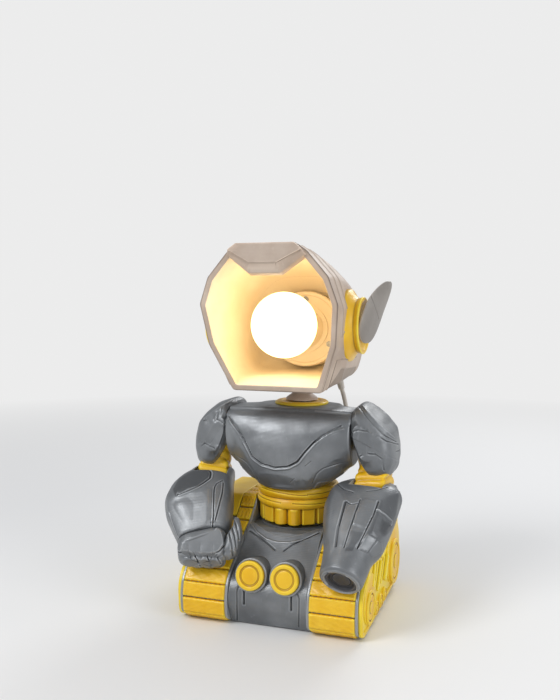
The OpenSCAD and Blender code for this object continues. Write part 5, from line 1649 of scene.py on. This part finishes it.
def make_fist():
    """Hand whose fingers part towards the knuckles, with the thumb against it."""
    r = np.array(HAND_ROWS, float)
    z = np.linspace(0, r[-1, 0], 60)
    rows = []
    for height, (x, half, front, back, depth, tilt) in zip(z, smooth_at(r[:, 0], r[:, 1:], z)):
        q = oval(0, x, half, front, back, 3, 280)
        finger = (q[:, 0] - x + half) / half * 2
        groove = (1 - np.sqrt(np.abs(np.sin(np.pi * finger)))) * depth * smoothstep((height - 12) / 3)
        mid = (front + back) / 2
        y = mid + (q[:, 1] - mid) * (1 - groove)
        rows.append(np.stack([q[:, 0], y, WRIST + height + tilt * q[:, 0]], -1))
    skin = Skin.of_rows(closed_rows(rows, 1.5, 2.5))
    thumb = [(WRIST + t[0],) + t[1:] for t in THUMB_ROWS]
    skin.add(Skin.of_rows(closed_rows(loft_rows(thumb, 90, 44), 1.5, 3)))
    skin.moved(FIST_FRAME)
    for facet in HAND_FACETS:
        skin.flatten(facet, 0.7, 2.5, 2)
        # Painted highlight on the back of the hand.
        skin.shade(facet, -0.5, 4)
    edge, gaps, pleats = (skin.traces(lines) for lines in ([KNUCKLE_EDGE], FINGER_GAPS, THUMB_PLEATS))
    skin.carve_all((edge, 1.2, 0.7), (gaps, 1.1, 0.9), (pleats, 1.5, 1.0))
    skin.roughen(9, 0.2, 4)
    skin.publish("closed_fist", "grey_print", ["fist_right"])


make_cannon()
make_gauntlet()
make_fist()


# ---------------------------------------------------------------- stage and light
BACKGROUND = (0.84, 0.84, 0.84, 1)
FLOOR_R, FLOOR_Z = 6.0, -0.0002


def make_stage():
    """A pale floor that turns into the background away from the lamp."""
    bm = bmesh.new()
    bmesh.ops.create_circle(bm, cap_ends=True, segments=96, radius=FLOOR_R)
    mesh = Skin(bm).mesh("floor")
    floor = link("floor", mesh)
    floor.location.z = FLOOR_Z
    mat = bpy.data.materials.new("floor")
    mat.use_nodes = True
    tree = mat.node_tree
    shader = tree.nodes["Principled BSDF"]
    fill(tree, shader, {"Base Color": (0.80, 0.80, 0.80, 1), "Roughness": 0.6})
    glow = add_node(tree, "Emission", {"Color": BACKGROUND})
    length = add_node(tree, "VectorMath", {0: add_node(tree, "TexCoord").outputs["Object"]})
    length.operation = "LENGTH"
    fade = add_node(tree, "MapRange", {"From Min": 0.5, "From Max": 1.6, "Value": length.outputs["Value"]})
    mix = add_node(tree, "MixShader", {0: fade.outputs["Result"], 1: shader.outputs[0], 2: glow.outputs[0]})
    fill(tree, tree.nodes["Material Output"], {"Surface": mix.outputs[0]})
    mesh.materials.append(mat)


def make_world():
    """Soft light from all round, and the plain background that the camera sees."""
    world = bpy.data.worlds.new("studio")
    world.use_nodes = True
    SCENE.world = world
    tree = world.node_tree
    light = fill(tree, tree.nodes["Background"], {"Color": (0.95, 0.97, 1.0, 1), "Strength": 0.5})
    seen = add_node(tree, "Background", {"Color": BACKGROUND})
    camera_ray = add_node(tree, "LightPath").outputs["Is Camera Ray"]
    mix = add_node(tree, "MixShader", {0: camera_ray, 1: light.outputs[0], 2: seen.outputs[0]})
    fill(tree, tree.nodes["World Output"], {"Surface": mix.outputs[0]})


def area_light(name, location, target, size, power):
    data = bpy.data.lights.new(name, "AREA")
    data.size, data.energy = size, power
    obj = link(name, data)
    obj.location = location
    obj.rotation_euler = (Vector(target) - Vector(location)).to_track_quat("-Z", "Y").to_euler()


make_stage()
make_world()
area_light("key", (-0.7, -1.0, 1.15), (0, 0, 0.15), 0.6, 12)
area_light("fill", (1.2, -0.5, 0.6), (0, 0, 0.15), 0.7, 5)
area_light("rim", (0.3, 1.2, 1.0), (0, 0, 0.2), 0.6, 7)
